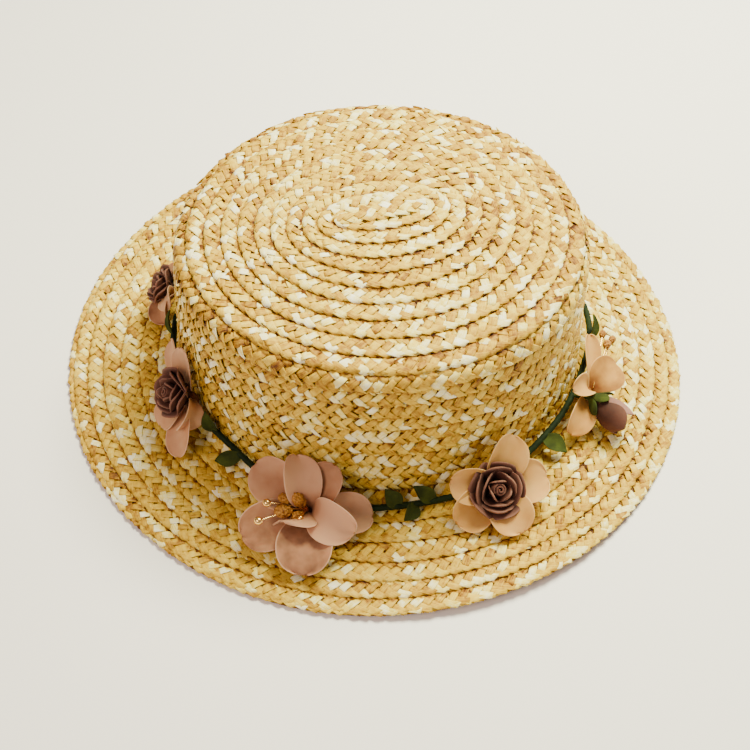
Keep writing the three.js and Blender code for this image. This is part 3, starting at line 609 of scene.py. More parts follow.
# A flower: the place of its foot, where it faces in degrees round from +X and above level, and its
# rose's radius and height. A petal: its tip's place, width, bulge of its spine, cup of its edges,
# droop of its tip in mm, twist in degrees, ruffle of its rim in mm, and how much paler its foam is,
# or deeper below 0. A folded petal faces its own way.
flowers = [
    dict(
        name="FarLeft", node="far_left", foam="blush", at=(152.6, 6.5, 18), facing=166, raised=34,
        rose=(8.8, 9.0), petals=[
            # the first petal's deep foam is painted shade: it lies low in shadow near the wall
            (161, 8.5, 9.5, 18, 3, 0.5, 1.0, 10, 0.3, -1.0), (146, 10, 26, 12, 3, 0.3, 0.5, -10, 0.4, -0.6),
            (154, 16, 12, 14, 2, 0.3, 1.5, 15, 0.4, -0.6), (146.5, 13, 11, 14, 2, 0.3, 0.5, 0, 0.4, -0.1),
            (160.3, 5.5, 21, 13, 3.5, 0.3, 0.0, -15, 0.3, 0.8),
        ],
    ),
    dict(
        name="Left", node="left", foam="blush", at=(196.8, 3.6, 26), facing=190, raised=32,
        rose=(11.0, 11.5), petals=[
            (178.5, 3.4, 31, 11, 2.0, 0.4, 0.0, 0, 0.3, 0.1),
            (188.5, 2.4, 43.5, 13, 0.3, 0.3, 0.0, -10, 0.3, 0.2),
            (206, 22.5, 12, 15, 0.5, 0.35, 1.0, 20, 0.3, -0.2),
            (197, 20, 14, 15, 2, 0.3, 0.5, 10, 0.4, -0.1),
        ],
        # the petal by the wall curls over towards the stem; its pale foam is a painted highlight
        folded=(202.5, 16, 18.5, 13, 6.0, 0.4, 1.0, 30, 0.3, 1.1), foldedFacing=(345, 45),
    ),
    dict(
        name="FrontLeft", node="front_left", foam="pink", at=(240, 15.7, 12), facing=248, raised=58,
        rose=None, petals=[
            (226, 14, 30, 21, 3.2, 0.32, 1.5, 12, 0.5, -0.15),
            (234.6, 4, 34, 17.5, 5.2, 0.5, 1.0, -34, 0.4, 0.8),
            (244.5, 3.6, 32, 17, 2, 0.3, 0.5, 8, 0.5, -0.5),
            (254.4, 14.6, 12, 19, 2, 0.3, 1.0, 14, 0.7, 0.5),
            (250.8, 30, 20, 19, 6, 0.42, 2.2, -24, 0.9, 0.9),
            (242.3, 46, 8.2, 25, 4, 0.22, 1.0, 0, 1.6, -0.7),
            (229.3, 38, 12, 22, 3, 0.30, 0.0, 10, 0.9, -0.45),
        ],
        # one more petal folds over the bottom one, so it faces down and out
        folded=(236, 29.5, 19.5, 26, 1.0, 0.28, 0.0, 0, 0.5, 0.5), foldedFacing=(262, -35),
    ),
    dict(
        name="FrontRight", node="front_right", foam="peach", at=(283.2, 12.4, 12), facing=272, raised=52,
        rose=(12.4, 10.5), petals=[
            (291.2, 4.6, 33, 19, 2.5, 0.40, 0.5, -22, 0.3, 0.1),
            (273, 8.4, 23, 17, 3, 0.50, 0.0, 20, 0.3, 0.0),
            (294.5, 22.6, 17, 20, 2, 0.34, 0.5, 10, 0.5, 0.1),
            (284, 36.5, 8.6, 20, 2, 0.30, 1.0, -8, 0.5, 0.0),
            (272.4, 23, 10.5, 19, 2, 0.32, 1.0, 8, 0.4, -0.4),
        ],
    ),
    dict(
        name="Right", node="right", foam="peach", at=(322.5, 9.5, 15), facing=10, raised=50, rose=None,
        petals=[
            (336, 3.2, 29, 10, 1, 0.45, 0.0, 20, 0.3, 0.0),
            (331.5, 18.5, 20.5, 18, 2, 0.15, 0.0, -12, 0.1, -0.6),
            (316.4, 4.2, 26, 11, 3, 0.75, -1.0, 40, 0.2, -0.2),
            (309.2, 12, 12.2, 13.5, 3, 0.45, 1.0, 15, 0.3, -0.4),
        ],
    ),
]
# a stamen's head: its place, radius, how long it is for its width, and what it is
stamens = [
    dict(flower="FrontLeft", node="stamens_front_left", heads=[
        (235.6, 24.5, 20, 2.9, 1.5, "grains"), (237.9, 18.2, 22, 2.8, 1.6, "grains"),
        (235.2, 20.5, 23.5, 2.3, 1.4, "grains"), (238.6, 23.5, 17.5, 2.3, 1.4, "grains"),
        (232.2, 25.8, 24, 1.9, 1.1, "bead"), (232.3, 35, 23, 1.9, 1.1, "bead"),
        (239.4, 25.5, 19.5, 1.5, 1.1, "bead"),
    ]),
    dict(flower="Right", node="stamens_right", heads=[
        (337.2, 12.5, 21.5, 1.9, 1.3, "grains"), (340, 15, 19.5, 1.7, 1.3, "grains"),
        (339.4, 10, 24, 1.6, 1.3, "grains"),
    ]),
]
# a leaf: angle of its seat on the stem, then its tip's place and its width
leaves = [
    (168.5, 164.5, 5, 27, 8), (207.5, 204, 4, 26, 7.5), (217.5, 212.2, 11, 9.6, 7.5),
    (261, 257.4, 3.2, 16, 8), (264.5, 261.6, 16, 9.2, 8), (269.5, 264.6, 3, 16.5, 7.5),
    (304, 305.6, 16, 9, 9), (340, 345.6, 6.5, 26, 8), (5, 10.5, 13, 11, 8), (28, 33, 3.2, 22, 8),
    (62, 68, 14, 9.4, 8), (112, 118, 13, 9.6, 8),
]


def unit(v):
    return v / np.linalg.norm(v, axis=-1, keepdims=True)


def place(angle, out, height):
    # a point at an angle round the crown's middle, out from the wall at that height
    t = np.radians(np.asarray(angle, float))
    halfLength, halfWidth = wallHalves(np.asarray(height, float))
    outward = unit(np.stack([np.cos(t) / halfLength, np.sin(t) / halfWidth, 0 * t], -1))
    onWall = np.stack([crown["shift"] + halfLength * np.cos(t), halfWidth * np.sin(t), 0 * t + height], -1)
    return onWall + np.asarray(out, float)[..., None] * outward


def facingWay(facing, raised):
    f, r = math.radians(facing), math.radians(raised)
    return np.array([math.cos(f) * math.cos(r), math.sin(f) * math.cos(r), math.sin(r)])


def closedCurve(knots, count):
    # centripetal Catmull-Rom curve through a closed row of knots, spread evenly by length
    before, here, after, beyond = (np.roll(knots, k, 0) for k in (1, 0, -1, -2))
    pairs = ((before, here), (here, after), (after, beyond))
    d0, d1, d2 = (np.sqrt(np.linalg.norm(b - a, axis=1))[:, None] for a, b in pairs)
    leave = d1 * ((here - before) / d0 - (after - before) / (d0 + d1) + (after - here) / d1)
    arrive = d1 * ((after - here) / d1 - (beyond - here) / (d1 + d2) + (beyond - after) / d2)
    between = 40
    t = np.linspace(0, 1, between, endpoint=False)[None, :, None]
    dense = (
        here[:, None] * (2 * t**3 - 3 * t**2 + 1) + leave[:, None] * (t**3 - 2 * t**2 + t)
        + after[:, None] * (3 * t**2 - 2 * t**3) + arrive[:, None] * (t**3 - t**2)
    ).reshape(-1, 3)
    dense = np.concatenate([dense, dense[:1]])
    way = np.concatenate([[0], np.cumsum(np.linalg.norm(np.diff(dense, axis=0), axis=1))])
    even = np.linspace(0, way[-1], count, endpoint=False)
    return np.stack([np.interp(even, way, dense[:, i]) for i in range(3)], -1), way[-1]


def closedSkin(rings, looped=False):
    # quads between neighbouring rings, closed at the ends by strips across, faces turned outward
    rows, cols = rings.shape[:2]
    i, j = np.meshgrid(np.arange(rows if looped else rows - 1), np.arange(cols), indexing="ij")
    i2, j2 = (i + 1) % rows, (j + 1) % cols
    quads = np.stack([i * cols + j, i * cols + j2, i2 * cols + j2, i2 * cols + j], -1).reshape(-1, 4)
    if not looped:
        k = np.arange(cols // 2 - 1)
        strip = np.stack([k, cols - 1 - k, cols - 2 - k, k + 1], -1)
        quads = np.concatenate([quads, strip, strip[:, ::-1] + (rows - 1) * cols])
    points = rings.reshape(-1, 3)
    a, b, c, d = (points[quads[:, n]] - points[0] for n in range(4))
    volume = np.einsum("ij,ij->", a, np.cross(b, c)) + np.einsum("ij,ij->", a, np.cross(c, d))
    return points, quads if volume > 0 else quads[:, ::-1]


def thinSheet(surface, thickness, along=24, around=24):
    # A thin sheet with round edges. surface(h, v) is its middle, h along it and v across from -1 to 1;
    # its two faces stand half a thickness off along the surface's normal. The rows crowd at both
    # ends, and round each row v goes as cos^0.7 and the thickness as sin^0.6.
    h = 0.5 - 0.496 * np.cos(np.pi * np.linspace(0, 1, along))
    k = 2 * np.pi * (np.arange(around) + 0.5) / around
    v = np.sign(np.cos(k)) * np.abs(np.cos(k)) ** 0.7
    side = np.sign(np.sin(k)) * np.abs(np.sin(k)) ** 0.6
    hh, vv = np.meshgrid(h, v, indexing="ij")
    e = 0.002
    alongIt = surface(hh + e, vv) - surface(hh - e, vv)
    acrossIt = surface(hh, vv + e) - surface(hh, vv - e)
    normal = unit(np.cross(alongIt, acrossIt))
    tones = np.stack([hh, np.abs(vv), 0 * hh, 0 * hh + 1], -1)
    return surface(hh, vv) + 0.5 * thickness * side[None, :, None] * normal, tones


def roundRod(path, radii, sides, looped=False):
    # rings round a path: aside is the path crossed with a steady direction, over the third one
    along = unit(np.roll(path, -1, 0) - np.roll(path, 1, 0)) if looped else unit(np.gradient(path, axis=0))
    steady = np.array([0.0, 0.0, 1.0]) if np.abs(along[:, 2]).max() < 0.9 else np.array([1.0, 0.0, 0.0])
    aside = unit(np.cross(along, steady))
    over = np.cross(aside, along)
    k = 2 * np.pi * (np.arange(sides) + 0.5) / sides
    ring = np.cos(k)[None, :, None] * aside[:, None] + np.sin(k)[None, :, None] * over[:, None]
    return path[:, None] + np.broadcast_to(radii, (len(path), sides))[..., None] * ring


def roundBall(centre, axis, radius, stretch, rows=24, cols=32, bumps=None):
    # a ball stretched along an axis; bumps(points on the unit ball) scales its radius
    polar = np.pi * (np.arange(rows) + 0.5) / rows
    k = 2 * np.pi * (np.arange(cols) + 0.5) / cols
    pp, kk = np.meshgrid(polar, k, indexing="ij")
    onBall = np.stack([np.sin(pp) * np.cos(kk), np.sin(pp) * np.sin(kk), np.cos(pp)], -1)
    size = radius * (bumps(onBall) if bumps else np.ones(pp.shape))
    z = unit(np.asarray(axis, float))
    x = unit(np.cross(z, [0.3, 0.2, 1.0]))
    y = np.cross(z, x)
    ball = onBall * size[..., None] * np.array([1, 1, stretch])
    return centre + ball[..., :1] * x + ball[..., 1:2] * y + ball[..., 2:] * z


def ripple(seed, size):
    # a soft unevenness over a sheet, a few sine waves of chance directions
    chance = np.random.default_rng([seedOfHat, seed])
    waves = chance.uniform(-1, 1, (4, 2)) * np.array([5.0, 3.5])
    shifts = chance.uniform(0, 2 * np.pi, 4)
    return lambda h, v: size * sum(np.sin(w[0] * h + w[1] * v + p) for w, p in zip(waves, shifts)) / 2


def petalSurface(start, end, facing, shape, profile, seed, uneven):
    # Spine: a curve from start to end whose middle is lifted by the bulge and whose tip droops by
    # droop h^3. Across it the sheet is as wide as the profile says and turns by twist times h. Its
    # edges rise by cup times half its width times v squared, its rim waves by
    # ruffle h^3 sin(waves v + shift) (0.3 + 0.7 v^2), and a soft ripple grows from foot to tip.
    width, bulge, cup, droop, twist, ruffle = shape
    axis = end - start
    aside = unit(np.cross(axis, facing))
    over = unit(np.cross(aside, axis))
    middle = 0.5 * (start + end) + 2 * bulge * over
    soft = ripple(seed, uneven)
    chance = np.random.default_rng([seedOfHat, seed, 3])
    waves, shift = chance.uniform(5.5, 9.0), chance.uniform(0, 2 * np.pi)

    def surface(h, v):
        h1 = h[..., None]
        spine = (1 - h1) ** 2 * start + 2 * h1 * (1 - h1) * middle + h1**2 * end
        tangent = 2 * (1 - h1) * (middle - start) + 2 * h1 * (end - middle)
        over = unit(np.cross(aside, tangent))
        turn = math.radians(twist) * h1
        across = aside * np.cos(turn) + over * np.sin(turn)
        up = over * np.cos(turn) - aside * np.sin(turn)
        half = 0.5 * width * profile(h)
        wave = ruffle * h**3 * np.sin(waves * v + shift) * (0.3 + 0.7 * v * v)
        rise = cup * half * v * v + soft(h, v) * (0.3 + 0.7 * h) + wave - droop * h**3
        return spine + across * (half * v)[..., None] + up * rise[..., None]

    return surface


def petalProfile(h):
    # narrow base, widest past the middle, then a round end: an oval of power 2.3
    h = np.clip(h, 0, 0.9999)
    widest, base, power = 0.6, 0.24, 2.3
    grow = lerp(base, 1, np.sin(np.pi / 2 * np.clip(h / widest, 0, 1)))
    past = np.clip((h - widest) / (1.0 - widest), 0, 1)
    return np.where(h < widest, grow, (1 - past**power) ** (1 / power))


def leafProfile(h):
    # pointed at both ends and widest before the middle: the sine of pi times h^0.9
    return np.sin(np.pi * lerp(0.06, 0.995, np.clip(h, 0, 1)) ** 0.9)


def joinParts(parts):
    # several closed skins with tones in one mesh: points, faces, tones, and a material slot a face
    points, faces, tones, slots, count = [], [], [], [], 0
    for slot, rings, tone, looped in parts:
        p, f = closedSkin(rings, looped)
        points.append(p)
        faces.append(f + count)
        tones.append(np.broadcast_to(tone, (*rings.shape[:2], 4)).reshape(-1, 4))
        slots.append(np.full(len(f), slot))
        count += len(p)
    return np.concatenate(points), np.concatenate(faces), np.concatenate(tones), np.concatenate(slots)


def garlandPiece(name, nodes, parts, materials):
    points, faces, tones, slots = joinParts(parts)
    piece = makeMesh(name, points, faces, materials, tones=tones, faceSlots=slots)
    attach(piece, "root")
    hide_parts(*nodes)
    print(name, len(faces), "faces")


def craftFoam(name, deep, middle, pale, rim):
    # Soft craft foam sheet, dyed unevenly. It is deep at the petal's foot, partly from its dye and partly as
    # painted shade in the flower's heart, and paler at its thin rim as a painted highlight; matt with the
    # faint grain of closed cells
    material, tree = newMaterial(name)
    tone = addNode(tree, "ShaderNodeAttribute", {"attribute_name": "tone"})
    parts = addNode(tree, "ShaderNodeSeparateColor", links={"Color": tone.outputs["Color"]})
    coord = addNode(tree, "ShaderNodeTexCoord")
    cloud = addNode(
        tree, "ShaderNodeTexNoise", {"Scale": 90.0, "Detail": 3.0}, {"Vector": coord.outputs["Object"]},
    )
    shade = addNode(
        tree, "ShaderNodeMapRange", {"From Min": 0.3, "From Max": 0.7, "To Min": -0.22, "To Max": 0.22},
        {"Value": cloud.outputs["Fac"]},
    )
    along = addNode(
        tree, "ShaderNodeMath", {"operation": "ADD"}, {0: parts.outputs["Red"], 1: shade.outputs["Result"]},
    )
    ramp = addNode(tree, "ShaderNodeValToRGB", links={"Fac": along.outputs["Value"]})
    rampColours(ramp, [(0.05, deep), (0.5, middle), (1.0, pale)])
    rimHighlightMask = addNode(
        tree, "ShaderNodeMapRange", {"From Min": 0.95, "From Max": 1.0}, {"Value": parts.outputs["Green"]},
    )
    mixed = addNode(
        tree, "ShaderNodeMix", {"data_type": "RGBA"},
        {0: rimHighlightMask.outputs["Result"], 6: ramp.outputs["Color"]},
    )
    mixed.inputs[7].default_value = srgb(rim)
    cells = addNode(
        tree, "ShaderNodeTexNoise", {"Scale": 2600.0, "Detail": 2.0}, {"Vector": coord.outputs["Object"]},
    )
    bump = addNode(
        tree, "ShaderNodeBump", {"Strength": 0.25, "Distance": 0.0001}, {"Height": cells.outputs["Fac"]},
    )
    shader = addNode(
        tree, "ShaderNodeBsdfPrincipled",
        {
            "Roughness": 0.78, "Subsurface Weight": 0.10, "Subsurface Scale": 0.002,
            "Specular IOR Level": 0.25,
        },
        {"Base Color": mixed.outputs[2], "Normal": bump.outputs["Normal"]},
    )
    addNode(tree, "ShaderNodeOutputMaterial", links={"Surface": shader.outputs["BSDF"]})
    return material


def plainMaterial(name, colours, scale, roughness, bumpScale, bumpDistance, metallic=0.0, specular=0.2):
    # one noise picks the colour between two, another gives the grain
    material, tree = newMaterial(name)
    coord = addNode(tree, "ShaderNodeTexCoord")
    cloud = addNode(
        tree, "ShaderNodeTexNoise", {"Scale": scale, "Detail": 3.0}, {"Vector": coord.outputs["Object"]},
    )
    ramp = addNode(tree, "ShaderNodeValToRGB", links={"Fac": cloud.outputs["Fac"]})
    rampColours(ramp, [(0.32, colours[0]), (0.68, colours[1])])
    grain = addNode(
        tree, "ShaderNodeTexNoise", {"Scale": bumpScale, "Detail": 2.0}, {"Vector": coord.outputs["Object"]},
    )
    bump = addNode(
        tree, "ShaderNodeBump", {"Strength": 0.6, "Distance": bumpDistance},
        {"Height": grain.outputs["Fac"]},
    )
    shader = addNode(
        tree, "ShaderNodeBsdfPrincipled",
        {"Roughness": roughness, "Metallic": metallic, "Specular IOR Level": specular},
        {"Base Color": ramp.outputs["Color"], "Normal": bump.outputs["Normal"]},
    )
    addNode(tree, "ShaderNodeOutputMaterial", links={"Surface": shader.outputs["BSDF"]})
    return material


# Peach foam petals, blush and dusty pink ones, and the brown-mauve foam of roses and bud
peachFoam = craftFoam("peachFoam", "#6E3A12", "#BC8844", "#D0A060", "#DAAE70")
blushFoam = craftFoam("blushFoam", "#5C2E12", "#B98460", "#D0A27C", "#DAB08E")
pinkFoam = craftFoam("pinkFoam", "#401E10", "#AC7A5A", "#C69676", "#CEA488")
mauveFoam = craftFoam("mauveFoam", "#28120D", "#4C2B22", "#623D32", "#7E574A")
paleMauveFoam = craftFoam("paleMauveFoam", "#64403A", "#8A6259", "#966E64", "#A9837A")
# Crepe paper floral tape, dark green with a slight wax shine
floralTape = plainMaterial("floralTape", ("#0A1804", "#18280A"), 220.0, 0.75, 1500.0, 0.0002)
# Starched fabric leaves, olive, with a fine weave
leafFabric = plainMaterial("leafFabric", ("#222A0A", "#3C4612"), 160.0, 0.85, 2800.0, 0.0001)
# Brown glitter grains stuck on paper pips, and gilt beads and wire
grainPips = plainMaterial("grainPips", ("#6E3E12", "#C68A3C"), 1100.0, 0.5, 1600.0, 0.0010)
giltMetal = plainMaterial(
    "giltMetal", ("#D9A250", "#F0C680"), 60.0, 0.22, 300.0, 0.00005, metallic=1.0, specular=0.5,
)

stemSteps = 900
stemLine, stemLength = closedCurve(place(*np.array(stemRoute, float).T), stemSteps)


def onStem(point):
    # the wire's nearest point
    return stemLine[np.argmin(np.linalg.norm(stemLine - point, axis=1))]


# The taped wire: each turn of tape stands up where it laps over the last
wayAlong = np.linspace(0, stemLength, stemSteps, endpoint=False)[:, None]
turnsOfTape = round(stemLength / wire["tapePitch"])
lap = (wayAlong / stemLength * turnsOfTape + (np.arange(wire["sides"]) / wire["sides"])[None, :]) % 1.0
radii = wire["radius"] + wire["tapeRidge"] * (lap - 0.5)
plainTone = np.array([0.5, 0.0, 0.0, 1.0])
# the deep end of the foams: painted shade on the balls deep inside the flowers, the roses' hearts and the
# bud's egg
paintedShadeTone = 0.2 * plainTone
stemRod = roundRod(stemLine, radii, wire["sides"], True)
garlandPiece("tapedStem", ["stem"], [(0, stemRod, plainTone, True)], [floralTape])


def petalTone(h, paler):
    # deep at the foot, partly dye and partly painted shade in the flower's heart, then even, then a little
    # paler to the tip
    even = np.clip(h / 0.45, 0, 1) ** 0.8
    return 0.12 + 0.5 * even + 0.2 * h + 0.5 * paler * np.clip(h / 0.4, 0, 1)


# Petals: thin foam sheets round a small core on the wire
petalUneven = 0.45
for number, flower in enumerate(flowers):
    base = place(*flower["at"])
    facing = facingWay(flower["facing"], flower["raised"])
    seat = onStem(base)
    reach = 0.5 * np.linalg.norm(base - seat) + 0.5 * coreRadius
    core = roundBall(0.5 * (base + seat), base - seat, coreRadius, reach / coreRadius)
    parts = [(0, core, paintedShadeTone, False)]
    rows = [(row, facing) for row in flower["petals"]]
    if "folded" in flower:
        rows.append((flower["folded"], facingWay(*flower["foldedFacing"])))
    for k, ((angle, out, height, *shape, paler), way) in enumerate(rows):
        end = place(angle, out, height)
        start = base + 0.6 * coreRadius * unit(end - base)
        surface = petalSurface(start, end, way, shape, petalProfile, 100 * number + k, petalUneven)
        sheet, tones = thinSheet(surface, foam["petal"], 30, 36)
        tones[..., 0] = petalTone(tones[..., 0], paler)
        parts.append((0, sheet, tones, False))
    material = dict(peach=peachFoam, blush=blushFoam, pink=pinkFoam)[flower["foam"]]
    garlandPiece("petals" + flower["name"], ["petals_" + flower["node"]], parts, [material])

# Roses: a rolled middle, and round it rings of petals that open wider and flare at their rims. The
# roll's inner radius is in mm and its outer one, like the ball at its heart, a share of the rose's.
roseRoll = dict(above=0.3, inner=0.7, outer=0.3, turns=2.2, heart=0.5, heartStretch=0.35)
roseSpread = dict(around=0.08, reach=(0.95, 1.05), height=(0.93, 1.05), flare=(0.7, 1.3))
roseRings = [
    # petals, start angle, reach and height as shares of the rose's, flare in mm, half span
    (3, 0.3, 0.34, 1.00, 0.2, 1.25),
    (3, 0.8, 0.54, 0.98, 0.6, 1.20),
    (4, 0.1, 0.74, 0.92, 1.0, 1.02),
    (5, 0.6, 0.92, 0.78, 1.6, 0.86),
]


def roundAxis(origin, axis, r, angle, z):
    # points round an axis: r off it at an angle, and z along it from the origin
    x = unit(np.cross(axis, [0.2, 0.1, 1.0]))
    y = np.cross(axis, x)
    flat = (r * np.cos(angle))[..., None] * x + (r * np.sin(angle))[..., None] * y
    return origin + flat + z[..., None] * axis


def roseSurface(origin, axis, around, reach, height, flare, span, seed):
    # A petal of a rose: h up it and v round the axis. Its radius is reach (0.42 + 0.58 sin(h pi/2))
    # plus flare h^5, drawn out to its sides so that it is flatter than a ring, and its top is
    # pointed: it sinks towards its sides by 0.3 |v|^1.3.
    uneven = ripple(seed, 0.25)

    def surface(h, v):
        h = np.clip(h, 0, 1)
        opened = span * v * (0.6 + 0.4 * np.sin(np.pi * np.clip(h, 0.02, 0.995) ** 0.75))
        flat = 0.62 + 0.38 / np.cos(np.clip(opened, -0.95, 0.95))
        r = reach * (0.42 + 0.58 * np.sin(0.5 * np.pi * h)) * flat + flare * h**5 + uneven(h, v)
        z = 1.5 + height * h * (1 - 0.3 * (v * v + 0.01) ** 0.65) - 0.4 * flare * h**8
        return roundAxis(origin, axis, r, around + opened, z)

    return surface


def rolledSurface(origin, axis, inner, outer, height, turns):
    # the rose's middle: a band rolled up, its radius growing evenly from inner to outer, fuller
    # halfway up

    def surface(h, v):
        r = lerp(inner, outer, 0.5 * (v + 1)) * (0.75 + 0.25 * np.sin(np.pi * np.clip(h, 0, 1)))
        return roundAxis(origin, axis, r, np.pi * turns * v, height * h * (1 - 0.05 * v))

    return surface


for number, flower in enumerate(flowers):
    if not flower["rose"]:
        continue
    radius, height = flower["rose"]
    axis = facingWay(flower["facing"], flower["raised"])
    origin = place(*flower["at"]) + axis * (coreRadius + roseRoll["above"])
    outer = roseRoll["outer"] * radius
    band = rolledSurface(origin, axis, roseRoll["inner"], outer, height, roseRoll["turns"])
    roll, tones = thinSheet(band, foam["rose"], 14, 140)
    heart = roundBall(origin + axis, axis, roseRoll["heart"] * radius, roseRoll["heartStretch"])
    parts = [(0, roll, tones, False), (0, heart, paintedShadeTone, False)]
    for ring, (count, first, reach, tall, flare, span) in enumerate(roseRings):
        for k in range(count):
            seed = 1000 + 100 * number + 10 * ring + k
            chance = np.random.default_rng([seedOfHat, seed])
            around = 2 * math.pi * (k + first) / count + chance.normal(0, roseSpread["around"])
            wide = reach * radius * chance.uniform(*roseSpread["reach"])
            high = tall * height * chance.uniform(*roseSpread["height"])
            flared = flare * chance.uniform(*roseSpread["flare"])
            surface = roseSurface(origin, axis, around, wide, high, flared, span, seed)
            sheet, tones = thinSheet(surface, foam["rose"], 20, 28)
            # painted shade deep inside the rose, and a painted highlight paler towards the top edge
            tones[..., 1] = np.maximum(tones[..., 0] ** 0.35, tones[..., 1])
            tones[..., 0] = 0.9 * tones[..., 0] ** 1.5
            parts.append((0, sheet, tones, False))
    garlandPiece("rose" + flower["name"], ["rose_" + flower["node"]], parts, [mauveFoam])

# Stamens: fine gilt wires to grainy pips and slit beads
grains = dict(waves=26, fineness=9, height=0.0175)
slit = dict(depth=0.4, width=0.13, reach=0.6, axis=(0.35, -0.35, 0.1))


def grainBumps(ball):
    # grains as a sum of sine waves of chance directions over the ball
    chance = np.random.default_rng([seedOfHat, 77])
    waves = chance.normal(0, grains["fineness"], (grains["waves"], 3))
    shifts = chance.uniform(0, 2 * np.pi, grains["waves"])
    return 1 + grains["height"] * np.sin(ball @ waves.T + shifts).sum(-1)


def slitBumps(ball):
    # a soft notch down one side
    notch = np.exp(-((ball[..., 0] / slit["width"]) ** 2)) * np.clip(ball[..., 1] + slit["reach"], 0, 1)
    return 1 - slit["depth"] * notch


for row in stamens:
    flower = next(f for f in flowers if f["name"] == row["flower"])
    root = place(*flower["at"]) + facingWay(flower["facing"], flower["raised"]) * coreRadius
    parts = []
    for angle, out, height, radius, stretch, kind in row["heads"]:
        head = place(angle, out, height)
        way = head - root
        t = np.linspace(0, 1, 24)[:, None]
        bend = np.array([0, 0, wire["threadBow"]]) * np.sin(np.pi * t)
        parts.append((1, roundRod(root + way * t + bend, wire["thread"], 8), plainTone, False))
        if kind == "grains":
            ball = roundBall(head, way, radius, stretch, 36, 48, grainBumps)
            parts.append((0, ball, plainTone, False))
        else:
            ball = roundBall(head, slit["axis"], radius, stretch, 24, 32, slitBumps)
            parts.append((1, ball, plainTone, False))
    garlandPiece("stamens" + flower["name"], [row["node"]], parts, [grainPips, giltMetal])

# Bud: petals wrapped over an egg, in a pointed calyx. The egg's place, radius and length are shares
# of the bud's, and the stalk and the seat below the sepals are in mm.
bud = dict(
    calyx=(319.6, 15.2, 18), nose=(318.2, 32, 12.2), radius=7.2,
    eggAt=0.50, eggRadius=0.78, eggLength=0.575, seatRadius=3.4, seatDepth=1.2, seatStretch=0.9,
    stalkRadius=1.1, stalkDepth=2.0,
)
wraps = [
    # material, angle round the axis and half span in radians, radius and length as shares of the
    # bud's, how far its tip leans out in mm
    (0, -0.5, 1.05, 1.04, 0.98, 0.2), (1, -2.1, 1.0, 0.98, 0.92, 0.5), (0, 1.3, 1.1, 0.96, 0.94, 0.0),
]
sepals = dict(count=5, halfSpan=0.62, foot=2.0, reach=1.06, below=3.0, length=7.0)
calyxAt, noseAt = place(*bud["calyx"]), place(*bud["nose"])
budAxis = unit(noseAt - calyxAt)
budLength = float(np.linalg.norm(noseAt - calyxAt))


def wrapSurface(around, span, standOff, length, lean):
    # A petal wrapped over the egg: h along the bud's axis, v round it. Its radius goes as
    # sin(pi (0.12 + 0.6 h))^0.8, and it narrows as a petal does but stays broad at its foot.

    def surface(h, v):
        h = np.clip(h, 0, 1)
        r = bud["radius"] * np.sin(np.pi * (0.12 + 0.60 * h)) ** 0.8 * standOff + lean * h**3
        angle = around + span * v * np.maximum(petalProfile(h), 0.5 - 0.5 * h)
        return roundAxis(calyxAt, budAxis, r, angle, length * budLength * h * (1 - 0.06 * v * v))

    return surface


eggAt = calyxAt + bud["eggAt"] * budLength * budAxis
eggStretch = bud["eggLength"] * budLength / bud["radius"]
egg = roundBall(eggAt, budAxis, bud["eggRadius"] * bud["radius"], eggStretch)
parts = [(0, egg, paintedShadeTone, False)]
for slot, *wrap in wraps:
    sheet, tones = thinSheet(wrapSurface(*wrap), foam["rose"], 22, 36)
    parts.append((slot, sheet, tones, False))
garlandPiece("budRight", ["bud_right"], parts, [mauveFoam, paleMauveFoam])


def sepalSurface(around):
    # a pointed sepal: it opens from the foot to the bud's side, and narrows to its tip as a sine does

    def surface(h, v):
        h = np.clip(h, 0, 1)
        r = lerp(sepals["foot"], sepals["reach"] * bud["radius"], np.sin(0.5 * np.pi * h) ** 1.2)
        angle = around + sepals["halfSpan"] * v * np.sin(np.pi * (0.35 + 0.645 * h)) ** 0.8
        return roundAxis(calyxAt, budAxis, r, angle, sepals["length"] * h - sepals["below"])

    return surface


stalkEnd = onStem(calyxAt)
stalkTop = calyxAt - bud["stalkDepth"] * budAxis
stalk = stalkEnd + (stalkTop - stalkEnd) * np.linspace(0, 1, 20)[:, None]
seatAt = calyxAt - bud["seatDepth"] * budAxis
parts = [
    (0, roundBall(seatAt, budAxis, bud["seatRadius"], bud["seatStretch"]), plainTone, False),
    (0, roundRod(stalk, bud["stalkRadius"], 12), plainTone, False),
]
for k in range(sepals["count"]):
    sheet, tones = thinSheet(sepalSurface(2 * math.pi * k / sepals["count"]), foam["sepal"], 18, 20)
    parts.append((0, sheet, tones, False))
garlandPiece("calyxRight", ["calyx_right"], parts, [leafFabric])

# Leaves: the blade rises to each side of its midrib. Bulge, cup, droop and ruffle are those of all
# leaves, and they twist one way and the other in turn.
leafShape = dict(bulge=1.0, cup=0.35, droop=0.8, twist=12.0, ruffle=0.25, uneven=0.2, raised=0.8)
seatLevel = dict(out=5, height=12)     # near the wire, whose nearest point is a leaf's seat
parts = []
for number, (angle, tipAngle, tipOut, tipHeight, width) in enumerate(leaves):
    seat = onStem(place(angle, seatLevel["out"], seatLevel["height"]))
    outward = unit(place(angle, 1, seatLevel["height"]) - place(angle, 0, seatLevel["height"]))
    facing = outward + np.array([0, 0, leafShape["raised"]])
    twist = leafShape["twist"] * (-1) ** number
    shape = (width, leafShape["bulge"], leafShape["cup"], leafShape["droop"], twist, leafShape["ruffle"])
    tip = place(tipAngle, tipOut, tipHeight)
    blade = petalSurface(seat, tip, facing, shape, leafProfile, 3000 + number, leafShape["uneven"])
    sheet, tones = thinSheet(blade, foam["leaf"], 24, 24)
    parts.append((0, sheet, tones, False))
garlandPiece("leaves", ["leaf_%d" % (n + 1) for n in range(len(leaves))], parts, [leafFabric])

